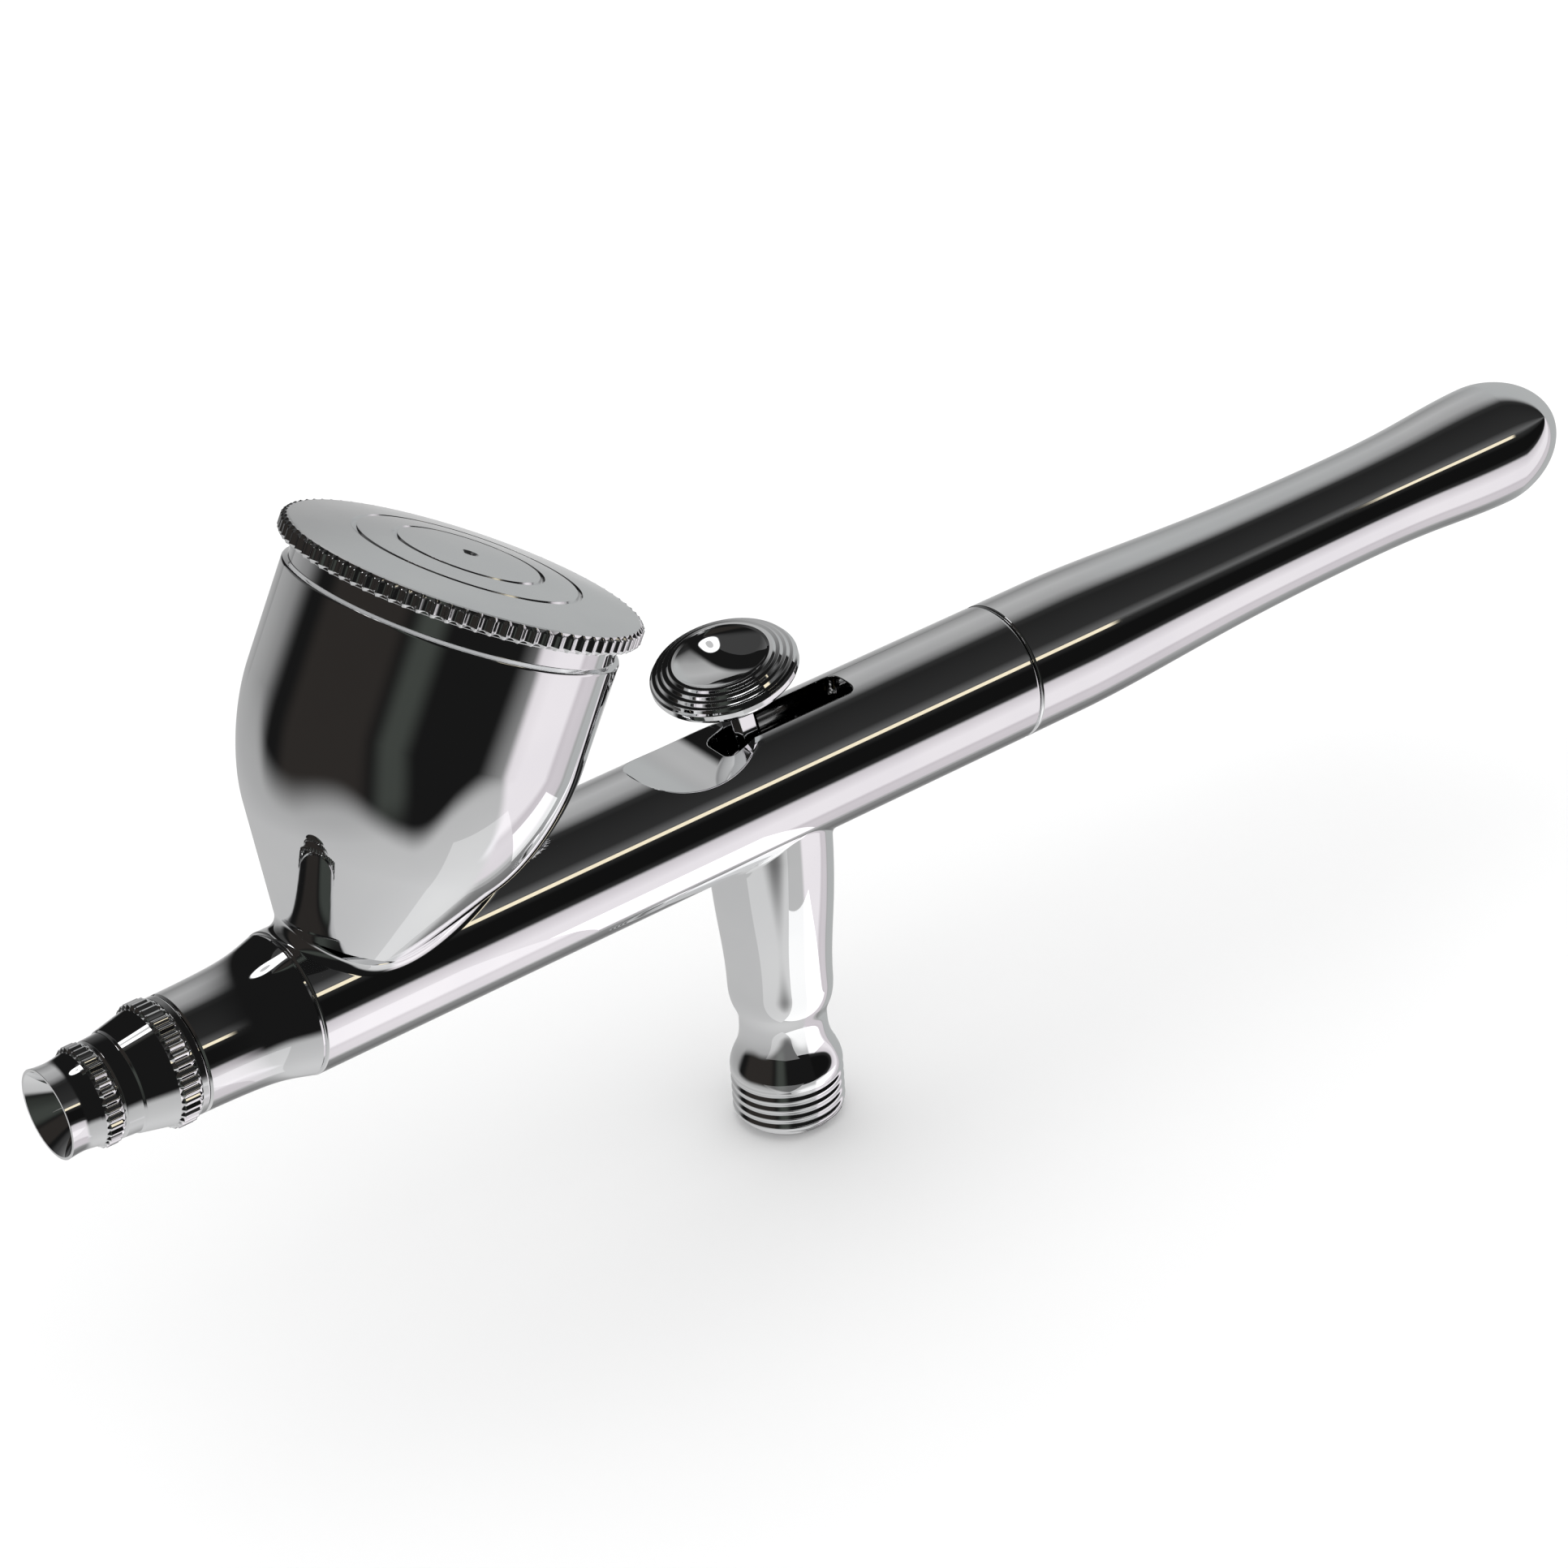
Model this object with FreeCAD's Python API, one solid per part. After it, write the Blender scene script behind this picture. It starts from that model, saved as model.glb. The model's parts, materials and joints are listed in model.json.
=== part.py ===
"""Double-action gravity-feed airbrush with a tilted, lidded paint cup.

Lengths along the gun (x) are measured from the air valve's centre line: minus is toward the
nozzle, plus toward the handle. Heights and depths are measured from the body's centre line.
The whole gun is lifted at the end, so that the row's origin is the middle of the inlet thread.
"""
import FreeCAD
import Part
import math
import os

Vec = FreeCAD.Vector
ORIGIN = Vec(0, 0, 0)
X_AXIS = Vec(1, 0, 0)
Y_AXIS = Vec(0, 1, 0)
Z_AXIS = Vec(0, 0, 1)

# ---- driving dimensions, millimetres and degrees ----
BODY_R = 6.03
BODY_FRONT = -47.09
BODY_REAR = 24.98
EDGE = 0.15                 # small bevel on turned edges
FIT = 0.05                  # gap between screwed or pressed pieces
SLIDE_FIT = 0.04            # gap round a piece that slides or turns
SPRING_GAP = 0.03           # gap at each end of a spring
SEAL_GAP = 0.02             # gap at a soft seal

NEEDLE_R = 0.65
NEEDLE_TIP = -67.75
NEEDLE_TAPER = 16.0
NEEDLE_REAR = 62.0

CAP_MOUTH = -68.18          # needle cap
CAP_MOUTH_R = 3.73
CAP_JOINT = -63.7
CAP_KNURL_R = 4.15
CAP_TEETH = 34
CAP_FACE = -65.05           # front face of the nozzle cap, inside the needle cap
CAP_SPIGOT_R = 2.7

NOZZLE_CAP_STEP = -62.05
NOZZLE_CAP_KNURL_R = 5.17
NOZZLE_CAP_TEETH = 40
NOZZLE_R = 1.4
HEAD_JOINT = -56.85
HEAD_FRONT_R = 4.93
HEAD_SPIGOT_FRONT = -60.5
HEAD_SPIGOT_R = 3.85
HEAD_THREAD_R = 4.4
HEAD_THREAD_END = -45.2
TOOTH_DEPTH = 0.32

PAINT_BORE_R = 1.9
SOCKET_END = -44.7
PACKING_FRONT = -36.0
PACKING_REAR = -33.4
PACKING_SCREW_REAR = -28.0
PACKING_R = 2.0
SCREW_BORE_R = 2.25
AIR_DUCT_R = 0.5
AIR_DUCT_Z = -5.1
AIR_DUCT_X = -3.8

CUP_FOOT_X = -43.21
CUP_TILT = 28.85            # toward the handle
CUP_R = 13.5
CUP_NECK_R = 13.03
CUP_INNER_R = 12.35
CUP_TOP = 33.4
CUP_SPIGOT_R = 2.6
CUP_SPIGOT_END = 3.0
CUP_CONE_END = 12.5
CUP_WALL_LOW = 23.0         # the cylindrical wall starts here
CUP_DRAIN_TOP = 8.0
LID_KNURL_R = 14.55
LID_TEETH = 80
LID_TOOTH_DEPTH = 0.38
LID_EDGE_LOW = 33.45
LID_EDGE_HIGH = 34.9
LID_TOP = 36.12

SLOT_FRONT = -4.6
SLOT_REAR = 8.75
SLOT_HALF = 1.7
SLOT_CORNER_R = 0.8
SLOT_FLOOR = -1.9
SCOOP_X = -7.3              # finger relief ahead of the lever
SCOOP_Z = 4.55
SCOOP_R = 12.5

LEVER_PIVOT_Z = -3.4
LEVER_LEAN = 11.67          # forward, at rest
LEVER_HALF_WIDTH = 1.3
LEVER_HALF_THICK = 1.2
LEVER_CHAMFER = 0.5
BUTTON_PIN_R = 0.9
FOOT_R = 1.5
NEEDLE_GAP = 0.85           # half width of the slots that straddle the needle
BUTTON_RIM_S = 15.97        # distance of the button's rim from the lever's pivot
BUTTON_R = 6.17
DISH_R = 4.05
DISH_RISE = 1.13

ROCKER_X = 3.7              # pivot of the auxiliary lever
ROCKER_Z = -4.2
ROCKER_LEAN = 22.5
ROCKER_TIP = 6.6
ROCKER_PIN_R = 0.5
ROCKER_PIN_HALF = 3.0

TUBE_FRONT = 3.58
TUBE_R = 1.5
TUBE_REAR_R = 1.9
TUBE_REAR = 38.0
TUBE_BORE_R = 0.7
FLANGE_FRONT = 11.4
FLANGE_REAR = 12.2
FLANGE_R = 2.9
CHAMBER_FRONT = 7.2
CHAMBER_R = 4.4
HANDLE_SOCKET = 19.3
HANDLE_SOCKET_R = 5.0
CASE_FRONT = 13.0
CASE_THREAD_END = 19.0
CASE_REAR = 27.0
CASE_WALL = 25.0
CASE_R = 3.7
CASE_BORE_R = 3.1
NUT_FRONT = 34.0
NUT_REAR = 41.0
NUT_R = 3.4
NUT_TEETH = 30

HANDLE_END = 91.1
HANDLE_BORE_R = 4.2
HANDLE_BORE_END = 68.0

VALVE_TOP_R = 5.3
INLET_THREAD_R = 4.864      # G1/8 major radius
THREAD_TOP = 28.3           # depths below the body's centre line
THREAD_END = 32.3
VALVE_END = 33.0
PISTON_BORE_R = 2.45
PISTON_R = 2.4
PISTON_TOP = 3.9
PISTON_SHOULDER = 7.0
PISTON_ROD_R = 1.15
PISTON_ROD_END = 14.6
PISTON_PACKING_TOP = 9.0
WEB_TOP = 10.5
WEB_END = 12.0
SEAT_TOP = 16.0
SEAT_END = 17.0
AIR_CHAMBER_R = 2.6
INLET_BORE_R = 3.0
POPPET_R = 2.2
POPPET_END = 18.2
GUIDE_TOP = 25.2
GUIDE_END = 28.2

BODY_HEIGHT = (THREAD_TOP + THREAD_END) / 2   # body's centre line above the thread's middle


# ---- outlines and turned solids ----
def at_x(x, r):
    """A point of a profile that is turned about the gun's length."""
    return Vec(x, 0, r)


def at_z(r, z):
    """A point of a profile that is turned about a vertical axis."""
    return Vec(r, 0, z)


def arc(start, middle, end):
    return Part.Arc(start, middle, end).toShape()


def dish(edge_r, edge_z, centre_z):
    """A spherical hollow's profile, from its edge down to the axis."""
    depth = edge_z - centre_z
    radius = (edge_r ** 2 + depth ** 2) / (2 * depth)
    middle_z = centre_z + radius - math.sqrt(radius ** 2 - edge_r ** 2 / 4)
    return arc(at_z(edge_r, edge_z), at_z(edge_r / 2, middle_z), at_z(0, centre_z))


def smooth(points, first=None, last=None):
    """A smooth curve through the points, with end directions where they are given."""
    curve = Part.BSplineCurve()
    if first is None:
        curve.interpolate(points)
    else:
        curve.interpolate(Points=points, InitialTangent=first, FinalTangent=last)
    return curve.toShape()


def outline(*items):
    """A closed face from points, which are joined by lines, and from curved edges."""
    edges = []
    start = here = None
    for item in items:
        if isinstance(item, Part.Edge):
            first, last = item.valueAt(item.FirstParameter), item.valueAt(item.LastParameter)
        else:
            first = last = item
        if here is None:
            start = first
        elif here.distanceToPoint(first) > 1e-6:
            edges.append(Part.makeLine(here, first))
        if first is not last:
            edges.append(item)
        here = last
    if here.distanceToPoint(start) > 1e-6:
        edges.append(Part.makeLine(here, start))
    return Part.Face(Part.Wire(edges))


def turned_x(*items):
    return outline(*items).revolve(ORIGIN, X_AXIS, 360)


def turned_z(*items):
    return outline(*items).revolve(ORIGIN, Z_AXIS, 360)


def rod_x(radius, x0, x1):
    return Part.makeCylinder(radius, x1 - x0, Vec(x0, 0, 0), X_AXIS)


def rod_z(radius, depth0, depth1, x=0.0):
    return Part.makeCylinder(radius, depth1 - depth0, Vec(x, 0, -depth1), Z_AXIS)


def rod_y(radius, half, x=0.0, z=0.0):
    return Part.makeCylinder(radius, 2 * half, Vec(x, -half, z), Y_AXIS)


def block(x0, x1, half_y, z0, z1):
    return Part.makeBox(x1 - x0, 2 * half_y, z1 - z0, Vec(x0, -half_y, z0))


def bevelled_rod(radius, x0, x1, bevel=EDGE):
    return turned_x(at_x(x0, 0), at_x(x0, radius - bevel), at_x(x0 + bevel, radius),
                    at_x(x1 - bevel, radius), at_x(x1, radius - bevel), at_x(x1, 0))


def toothed_disc(radius, depth, teeth, z0, z1):
    """A disc along Z with straight V teeth round its edge."""
    points = []
    for i in range(2 * teeth):
        r = radius if i % 2 else radius - depth
        angle = math.pi * i / teeth
        points.append(Vec(r * math.cos(angle), r * math.sin(angle), z0))
    return Part.Face(Part.makePolygon(points + points[:1])).extrude(Vec(0, 0, z1 - z0))


def toothed_x(radius, depth, teeth, x0, x1):
    disc = toothed_disc(radius, depth, teeth, x0, x1)
    disc.rotate(ORIGIN, Y_AXIS, 90)
    return disc


def coil(mean_r, wire_r, z0, z1, turns):
    """A round-wire spring along Z whose wire stays between the two ends."""
    height = z1 - z0 - 2 * wire_r
    pitch = height / turns
    path = Part.makeHelix(pitch, height, mean_r)
    slope = Vec(0, 1, pitch / (2 * math.pi * mean_r))
    section = Part.Wire(Part.makeCircle(wire_r, Vec(mean_r, 0, 0), slope))
    spring = Part.Wire(path).makePipeShell([section], True, True)
    spring.translate(Vec(0, 0, z0 + wire_r))
    return spring


def leaned(shape, degrees, x, z):
    """Tilts a piece built on the Z axis and sets its origin at x, z."""
    shape.rotate(ORIGIN, Y_AXIS, degrees)
    shape.translate(Vec(x, 0, z))
    return shape


# ---- nose ----
def needle_cap():
    knurl_front = CAP_JOINT - 1.6
    waist_x, waist_r = -66.7, 3.62
    root_r = 3.85
    cone_end, throat_r, lip = -65.5, 1.8, 0.25
    shell = turned_x(
        at_x(CAP_MOUTH, 0), at_x(CAP_MOUTH, CAP_MOUTH_R),
        smooth([at_x(CAP_MOUTH, CAP_MOUTH_R), at_x(waist_x, waist_r),
                at_x(knurl_front - 0.3, root_r - 0.1)]),
        at_x(knurl_front, root_r), at_x(CAP_JOINT, root_r), at_x(CAP_JOINT, 0))
    shell = shell.fuse(toothed_x(CAP_KNURL_R, TOOTH_DEPTH, CAP_TEETH, knurl_front, CAP_JOINT - FIT))
    cone = turned_x(at_x(CAP_MOUTH, 0), at_x(CAP_MOUTH, CAP_MOUTH_R - lip),
                    at_x(cone_end, throat_r), at_x(CAP_FACE, throat_r), at_x(CAP_FACE, 0))
    return shell.cut(cone).cut(rod_x(CAP_SPIGOT_R + FIT, CAP_FACE - FIT, CAP_JOINT))


def nozzle_cap():
    knurl_front, knurl_rear = -59.4, -57.55
    front_r, step_r, flare_r, root_r = 4.02, 4.12, 4.26, 4.8
    mouth_r, chamber_r, chamber_x = 0.75, 2.9, -61.6
    shell = turned_x(
        at_x(CAP_FACE, 0), at_x(CAP_FACE, CAP_SPIGOT_R), at_x(CAP_JOINT, CAP_SPIGOT_R),
        at_x(CAP_JOINT, front_r - EDGE), at_x(CAP_JOINT + EDGE, front_r),
        at_x(NOZZLE_CAP_STEP, step_r), at_x(NOZZLE_CAP_STEP + 0.1, flare_r),
        at_x(knurl_front, root_r), at_x(knurl_rear, root_r + FIT),
        at_x(knurl_rear + 0.1, HEAD_FRONT_R),
        at_x(HEAD_JOINT - EDGE, HEAD_FRONT_R), at_x(HEAD_JOINT, HEAD_FRONT_R - EDGE),
        at_x(HEAD_JOINT, 0))
    teeth = toothed_x(NOZZLE_CAP_KNURL_R, TOOTH_DEPTH, NOZZLE_CAP_TEETH, knurl_front, knurl_rear)
    chamber = turned_x(
        at_x(CAP_FACE, 0), at_x(CAP_FACE, mouth_r), at_x(CAP_FACE + 0.45, mouth_r),
        at_x(chamber_x, chamber_r), at_x(HEAD_SPIGOT_FRONT - FIT, chamber_r),
        at_x(HEAD_SPIGOT_FRONT - FIT, HEAD_SPIGOT_R + FIT),
        at_x(HEAD_JOINT, HEAD_SPIGOT_R + FIT), at_x(HEAD_JOINT, 0))
    return shell.fuse(teeth).cut(chamber)


def fluid_nozzle():
    tip, flange_front, rear = -65.25, -61.4, -57.5
    tip_r, flange_r = 0.45, 2.1
    orifice_r, bore_r, bore_front = 0.16, 0.9, -61.0
    return turned_x(
        at_x(tip, orifice_r), at_x(tip, tip_r), at_x(flange_front, NOZZLE_R),
        at_x(flange_front, flange_r), at_x(HEAD_SPIGOT_FRONT, flange_r),
        at_x(HEAD_SPIGOT_FRONT, NOZZLE_R), at_x(rear, NOZZLE_R), at_x(rear, bore_r),
        at_x(bore_front, bore_r), at_x(tip + 0.35, orifice_r))


def head_base():
    bore_r, bore_front = 1.6, -57.4
    groove_r, groove_width = 5.45, 0.6
    ducts, duct_r, duct_rear_r, duct_front_r = 3, 0.35, 4.75, 2.95
    shell = turned_x(
        at_x(HEAD_SPIGOT_FRONT, NOZZLE_R + FIT), at_x(HEAD_SPIGOT_FRONT, HEAD_SPIGOT_R),
        at_x(HEAD_JOINT + FIT, HEAD_SPIGOT_R), at_x(HEAD_JOINT + FIT, HEAD_FRONT_R - EDGE),
        smooth([at_x(HEAD_JOINT + FIT + EDGE, HEAD_FRONT_R), at_x(-52.5, 5.05),
                at_x(-49.5, 5.36), at_x(BODY_FRONT - 0.1, BODY_R - 0.1)]),
        at_x(BODY_FRONT, BODY_R - 0.2), at_x(BODY_FRONT, HEAD_THREAD_R),
        at_x(HEAD_THREAD_END, HEAD_THREAD_R), at_x(HEAD_THREAD_END, bore_r),
        at_x(bore_front, bore_r), at_x(bore_front, NOZZLE_R + FIT))
    groove = rod_x(groove_r, BODY_FRONT - groove_width, BODY_FRONT).cut(
        rod_x(HEAD_THREAD_R, BODY_FRONT - 1, BODY_FRONT))
    start, end = Vec(BODY_FRONT, 0, duct_rear_r), Vec(HEAD_SPIGOT_FRONT, 0, duct_front_r)
    along = end - start
    cuts = [groove]
    for i in range(ducts):
        duct = Part.makeCylinder(duct_r, along.Length + 0.2, start, along)
        duct.rotate(ORIGIN, X_AXIS, 360 / ducts * i)
        cuts.append(duct)
    return shell.cut(cuts)


def head_seal():
    ring = rod_x(HEAD_THREAD_R - FIT, HEAD_THREAD_END + FIT, SOCKET_END - FIT)
    return ring.cut(rod_x(PAINT_BORE_R, HEAD_THREAD_END, SOCKET_END))


# ---- body ----
def uprights(shape):
    """The edges that run along Z."""
    return [e for e in shape.Edges if abs(e.tangentAt(e.FirstParameter).z) > 0.9]


def lever_slot():
    pocket_front, pocket_low = 2.0, -5.3
    top = block(SLOT_FRONT, SLOT_REAR, SLOT_HALF, SLOT_FLOOR, BODY_R + 1)
    top = top.makeFillet(SLOT_CORNER_R, uprights(top))
    return top.fuse(block(pocket_front, CHAMBER_FRONT + 0.5, SLOT_HALF, pocket_low, 0))


def body():
    shell = bevelled_rod(BODY_R, BODY_FRONT, BODY_REAR)
    bores = [
        rod_x(HEAD_THREAD_R + FIT, BODY_FRONT, SOCKET_END),
        rod_x(PAINT_BORE_R, SOCKET_END, PACKING_FRONT),
        rod_x(PACKING_R + FIT, PACKING_FRONT, PACKING_REAR),
        rod_x(SCREW_BORE_R, PACKING_REAR, SLOT_FRONT + 1),
        rod_x(CHAMBER_R, CHAMBER_FRONT, HANDLE_SOCKET),
        rod_x(HANDLE_SOCKET_R, HANDLE_SOCKET, BODY_REAR),
        Part.makeCylinder(AIR_DUCT_R, AIR_DUCT_X - BODY_FRONT, Vec(BODY_FRONT, 0, AIR_DUCT_Z), X_AXIS),
        rod_z(AIR_DUCT_R, -AIR_DUCT_Z, BODY_R + 1, AIR_DUCT_X),
        rod_z(PISTON_BORE_R, -SLOT_FLOOR, BODY_R + 1),
        rod_y(ROCKER_PIN_R, ROCKER_PIN_HALF, ROCKER_X, ROCKER_Z),
        rod_y(SCOOP_R, BODY_R + 1, SCOOP_X, SCOOP_Z + SCOOP_R),
        leaned(Part.makeCylinder(PAINT_BORE_R, CUP_SPIGOT_END), CUP_TILT, CUP_FOOT_X, 0),
        leaned(Part.makeCylinder(CUP_SPIGOT_R + FIT, 8, Vec(0, 0, CUP_SPIGOT_END)),
               CUP_TILT, CUP_FOOT_X, 0),
        lever_slot(),
    ]
    return shell.cut(bores)


def needle_packing():
    return rod_x(PACKING_R, PACKING_FRONT + FIT, PACKING_REAR - FIT).cut(
        rod_x(NEEDLE_R + SLIDE_FIT, PACKING_FRONT, PACKING_REAR))


def needle_packing_screw():
    bore_r, slot_depth, slot_half = 0.9, 0.8, 0.35
    screw = bevelled_rod(SCREW_BORE_R - FIT, PACKING_REAR, PACKING_SCREW_REAR)
    driver_slot = block(PACKING_SCREW_REAR - slot_depth, PACKING_SCREW_REAR + 1, slot_half,
                        -SCREW_BORE_R, SCREW_BORE_R)
    return screw.cut([rod_x(bore_r, PACKING_REAR - 1, PACKING_SCREW_REAR + 1), driver_slot])


# ---- paint cup ----
def paint_cup():
    cone_low, slope, cone_end_r = 4.0, 0.628, 10.65
    low_r = cone_end_r - slope * (CUP_CONE_END - cone_low)
    shoulder_low, shoulder_high = 31.6, 31.9
    shell = turned_z(
        at_z(0, cone_low), at_z(low_r, cone_low),
        smooth([at_z(cone_end_r, CUP_CONE_END), at_z(12.27, 16), at_z(13.12, 19.2),
                at_z(CUP_R, CUP_WALL_LOW)], Vec(slope, 0, 1), Z_AXIS),
        at_z(CUP_R, shoulder_low), at_z(CUP_NECK_R, shoulder_high), at_z(CUP_NECK_R, CUP_TOP - EDGE),
        at_z(CUP_NECK_R - EDGE, CUP_TOP), at_z(0, CUP_TOP))
    shell = leaned(shell, CUP_TILT, CUP_FOOT_X, 0)
    shell = shell.cut(rod_x(BODY_R, BODY_FRONT, BODY_REAR))
    spigot = leaned(Part.makeCylinder(CUP_SPIGOT_R, 5, Vec(0, 0, CUP_SPIGOT_END)), CUP_TILT, CUP_FOOT_X, 0)
    hollow = turned_z(
        at_z(0, 0), at_z(PAINT_BORE_R, 0), at_z(PAINT_BORE_R, CUP_DRAIN_TOP),
        smooth([at_z(9.5, CUP_CONE_END), at_z(11.15, 16.2), at_z(11.97, 19.2),
                at_z(CUP_INNER_R, CUP_WALL_LOW)], Vec(0.9, 0, 1), Z_AXIS),
        at_z(CUP_INNER_R, CUP_TOP + 1), at_z(0, CUP_TOP + 1))
    return shell.fuse(spigot).cut(leaned(hollow, CUP_TILT, CUP_FOOT_X, 0))


def cup_lid():
    skirt_end, skirt_r, skirt_bore, ceiling = 30.5, 12.2, 11.2, 33.9
    rim_r, crown_r, crown_h = 14.1, 7.5, 35.78
    vent_r, dimple_r, dimple_depth = 0.5, 1.5, 0.35
    grooves, groove_r = ((5.9, 35.92), (9.03, 35.62)), 0.2
    plate = turned_z(
        at_z(vent_r, LID_TOP - 1.2), at_z(skirt_bore, ceiling), at_z(skirt_bore, skirt_end),
        at_z(skirt_r - EDGE, skirt_end), at_z(skirt_r, skirt_end + EDGE), at_z(skirt_r, LID_EDGE_LOW),
        at_z(rim_r, LID_EDGE_LOW), at_z(rim_r, LID_EDGE_HIGH),
        arc(at_z(rim_r, LID_EDGE_HIGH), at_z(crown_r, crown_h), at_z(dimple_r, LID_TOP)),
        at_z(dimple_r - 0.4, LID_TOP - dimple_depth), at_z(vent_r, LID_TOP - dimple_depth))
    band = toothed_disc(LID_KNURL_R, LID_TOOTH_DEPTH, LID_TEETH, LID_EDGE_LOW, LID_EDGE_HIGH - 0.1)
    band = band.cut(Part.makeCylinder(rim_r - 0.3, 4, Vec(0, 0, LID_EDGE_LOW - 1)))
    lid = plate.fuse(band)
    for ring_r, ring_h in grooves:
        lid = lid.cut(Part.makeTorus(ring_r, groove_r, Vec(0, 0, ring_h)))
    return leaned(lid, CUP_TILT, CUP_FOOT_X, 0)


# ---- lever, rocker and button ----
def main_lever():
    neck, pin_top = 12.9, 14.9
    slot_low, slot_high = 2.4, 6.2
    stem = block(-LEVER_HALF_THICK, LEVER_HALF_THICK, LEVER_HALF_WIDTH, 0, neck)
    stem = stem.makeChamfer(LEVER_CHAMFER, uprights(stem))
    foot = rod_y(FOOT_R, LEVER_HALF_WIDTH)
    pin = Part.makeCylinder(BUTTON_PIN_R, pin_top - neck, Vec(0, 0, neck))
    window = block(-3, 3, NEEDLE_GAP, slot_low, slot_high)
    return leaned(stem.fuse([foot, pin]).cut(window), -LEVER_LEAN, 0, LEVER_PIVOT_Z)


def trigger_button():
    underside, neck_r = 12.95, 1.75
    flare = at_z(2.1, 13.35)
    belly = at_z(4.5, 13.95)
    rim_low = BUTTON_RIM_S - 0.8
    dish_edge, dish_depth = BUTTON_RIM_S + DISH_RISE, 1.0
    ridges = 4
    pitch, rise = (BUTTON_R - DISH_R) / ridges, DISH_RISE / ridges
    steps = []
    for i in range(ridges):
        r = BUTTON_R - EDGE - pitch * i
        s = BUTTON_RIM_S + rise * i
        steps += [at_z(r, s), at_z(r - 0.3 * pitch, s + 0.9 * rise)]
    button = turned_z(
        at_z(0, underside), at_z(neck_r, underside), flare,
        arc(flare, belly, at_z(BUTTON_R - 0.1, rim_low)),
        at_z(BUTTON_R, rim_low + EDGE), at_z(BUTTON_R, BUTTON_RIM_S - 0.1), *steps,
        at_z(DISH_R + 0.1, dish_edge), dish(DISH_R - 0.1, dish_edge, dish_edge - dish_depth))
    socket = Part.makeCylinder(BUTTON_PIN_R + FIT, 2.1, Vec(0, 0, underside))
    return leaned(button.cut(socket), -LEVER_LEAN, 0, LEVER_PIVOT_Z)


def auxiliary_lever():
    half_thick, boss_r = 0.65, 1.0
    cam_r, cam_x, cam_s = 0.8, 0.5, 4.4
    fork_low = 2.9
    bar = block(-half_thick, half_thick, LEVER_HALF_WIDTH, 0, ROCKER_TIP)
    boss = rod_y(boss_r, LEVER_HALF_WIDTH)
    tip = rod_y(half_thick, LEVER_HALF_WIDTH, 0, ROCKER_TIP)
    cam = rod_y(cam_r, LEVER_HALF_WIDTH, cam_x, cam_s)
    fork = block(-3, 3, NEEDLE_GAP, fork_low, ROCKER_TIP + 2)
    hole = rod_y(ROCKER_PIN_R + SLIDE_FIT, 4)
    lever = bar.fuse([boss, tip, cam]).cut([fork, hole])
    return leaned(lever, -ROCKER_LEAN, ROCKER_X, ROCKER_Z)


def rocker_pin():
    return rod_y(ROCKER_PIN_R, ROCKER_PIN_HALF, ROCKER_X, ROCKER_Z)


# ---- needle and its carriage ----
def needle():
    return turned_x(at_x(NEEDLE_TIP, 0), at_x(NEEDLE_TIP + NEEDLE_TAPER, NEEDLE_R),
                    at_x(NEEDLE_REAR - 0.4, NEEDLE_R), at_x(NEEDLE_REAR, 0.3), at_x(NEEDLE_REAR, 0))


def needle_tube():
    chuck_r, split_length, split_half = 1.3, 6, 0.2
    tube = turned_x(
        at_x(TUBE_FRONT, 0), at_x(TUBE_FRONT, TUBE_R), at_x(FLANGE_FRONT, TUBE_R),
        at_x(FLANGE_FRONT, FLANGE_R), at_x(FLANGE_REAR, FLANGE_R), at_x(FLANGE_REAR, TUBE_REAR_R),
        at_x(TUBE_REAR - 1, TUBE_REAR_R), at_x(TUBE_REAR, chuck_r), at_x(TUBE_REAR, 0))
    tube = tube.cut(rod_x(TUBE_BORE_R, TUBE_FRONT - 1, TUBE_REAR + 1))
    split = block(TUBE_REAR - split_length, TUBE_REAR + 1, split_half, -3, 3)
    return tube.cut(split)


def needle_spring():
    mean_r, wire_r, turns = 2.5, 0.28, 8
    spring = coil(mean_r, wire_r, FLANGE_REAR + SPRING_GAP, CASE_WALL - SPRING_GAP, turns)
    spring.rotate(ORIGIN, Y_AXIS, 90)
    return spring


def spring_case():
    case = turned_x(
        at_x(CASE_FRONT, 0), at_x(CASE_FRONT, CHAMBER_R - FIT),
        at_x(CASE_THREAD_END, CHAMBER_R - FIT), at_x(CASE_THREAD_END, CASE_R),
        at_x(CASE_REAR - 0.3, CASE_R), at_x(CASE_REAR, CASE_R - 0.3), at_x(CASE_REAR, 0))
    return case.cut([rod_x(CASE_BORE_R, CASE_FRONT - 1, CASE_WALL),
                     rod_x(TUBE_REAR_R + 0.07, CASE_FRONT, CASE_REAR + 1)])


def needle_chucking_nut():
    tooth_depth, grip_front, grip_rear = 0.3, NUT_FRONT + 1.5, NUT_REAR - 1
    nut = bevelled_rod(NUT_R - tooth_depth, NUT_FRONT, NUT_REAR)
    nut = nut.fuse(toothed_x(NUT_R, tooth_depth, NUT_TEETH, grip_front, grip_rear))
    return nut.cut([rod_x(TUBE_REAR_R + FIT, NUT_FRONT - 1, TUBE_REAR + FIT),
                    rod_x(TUBE_BORE_R + FIT, NUT_FRONT, NUT_REAR + 1)])


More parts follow.
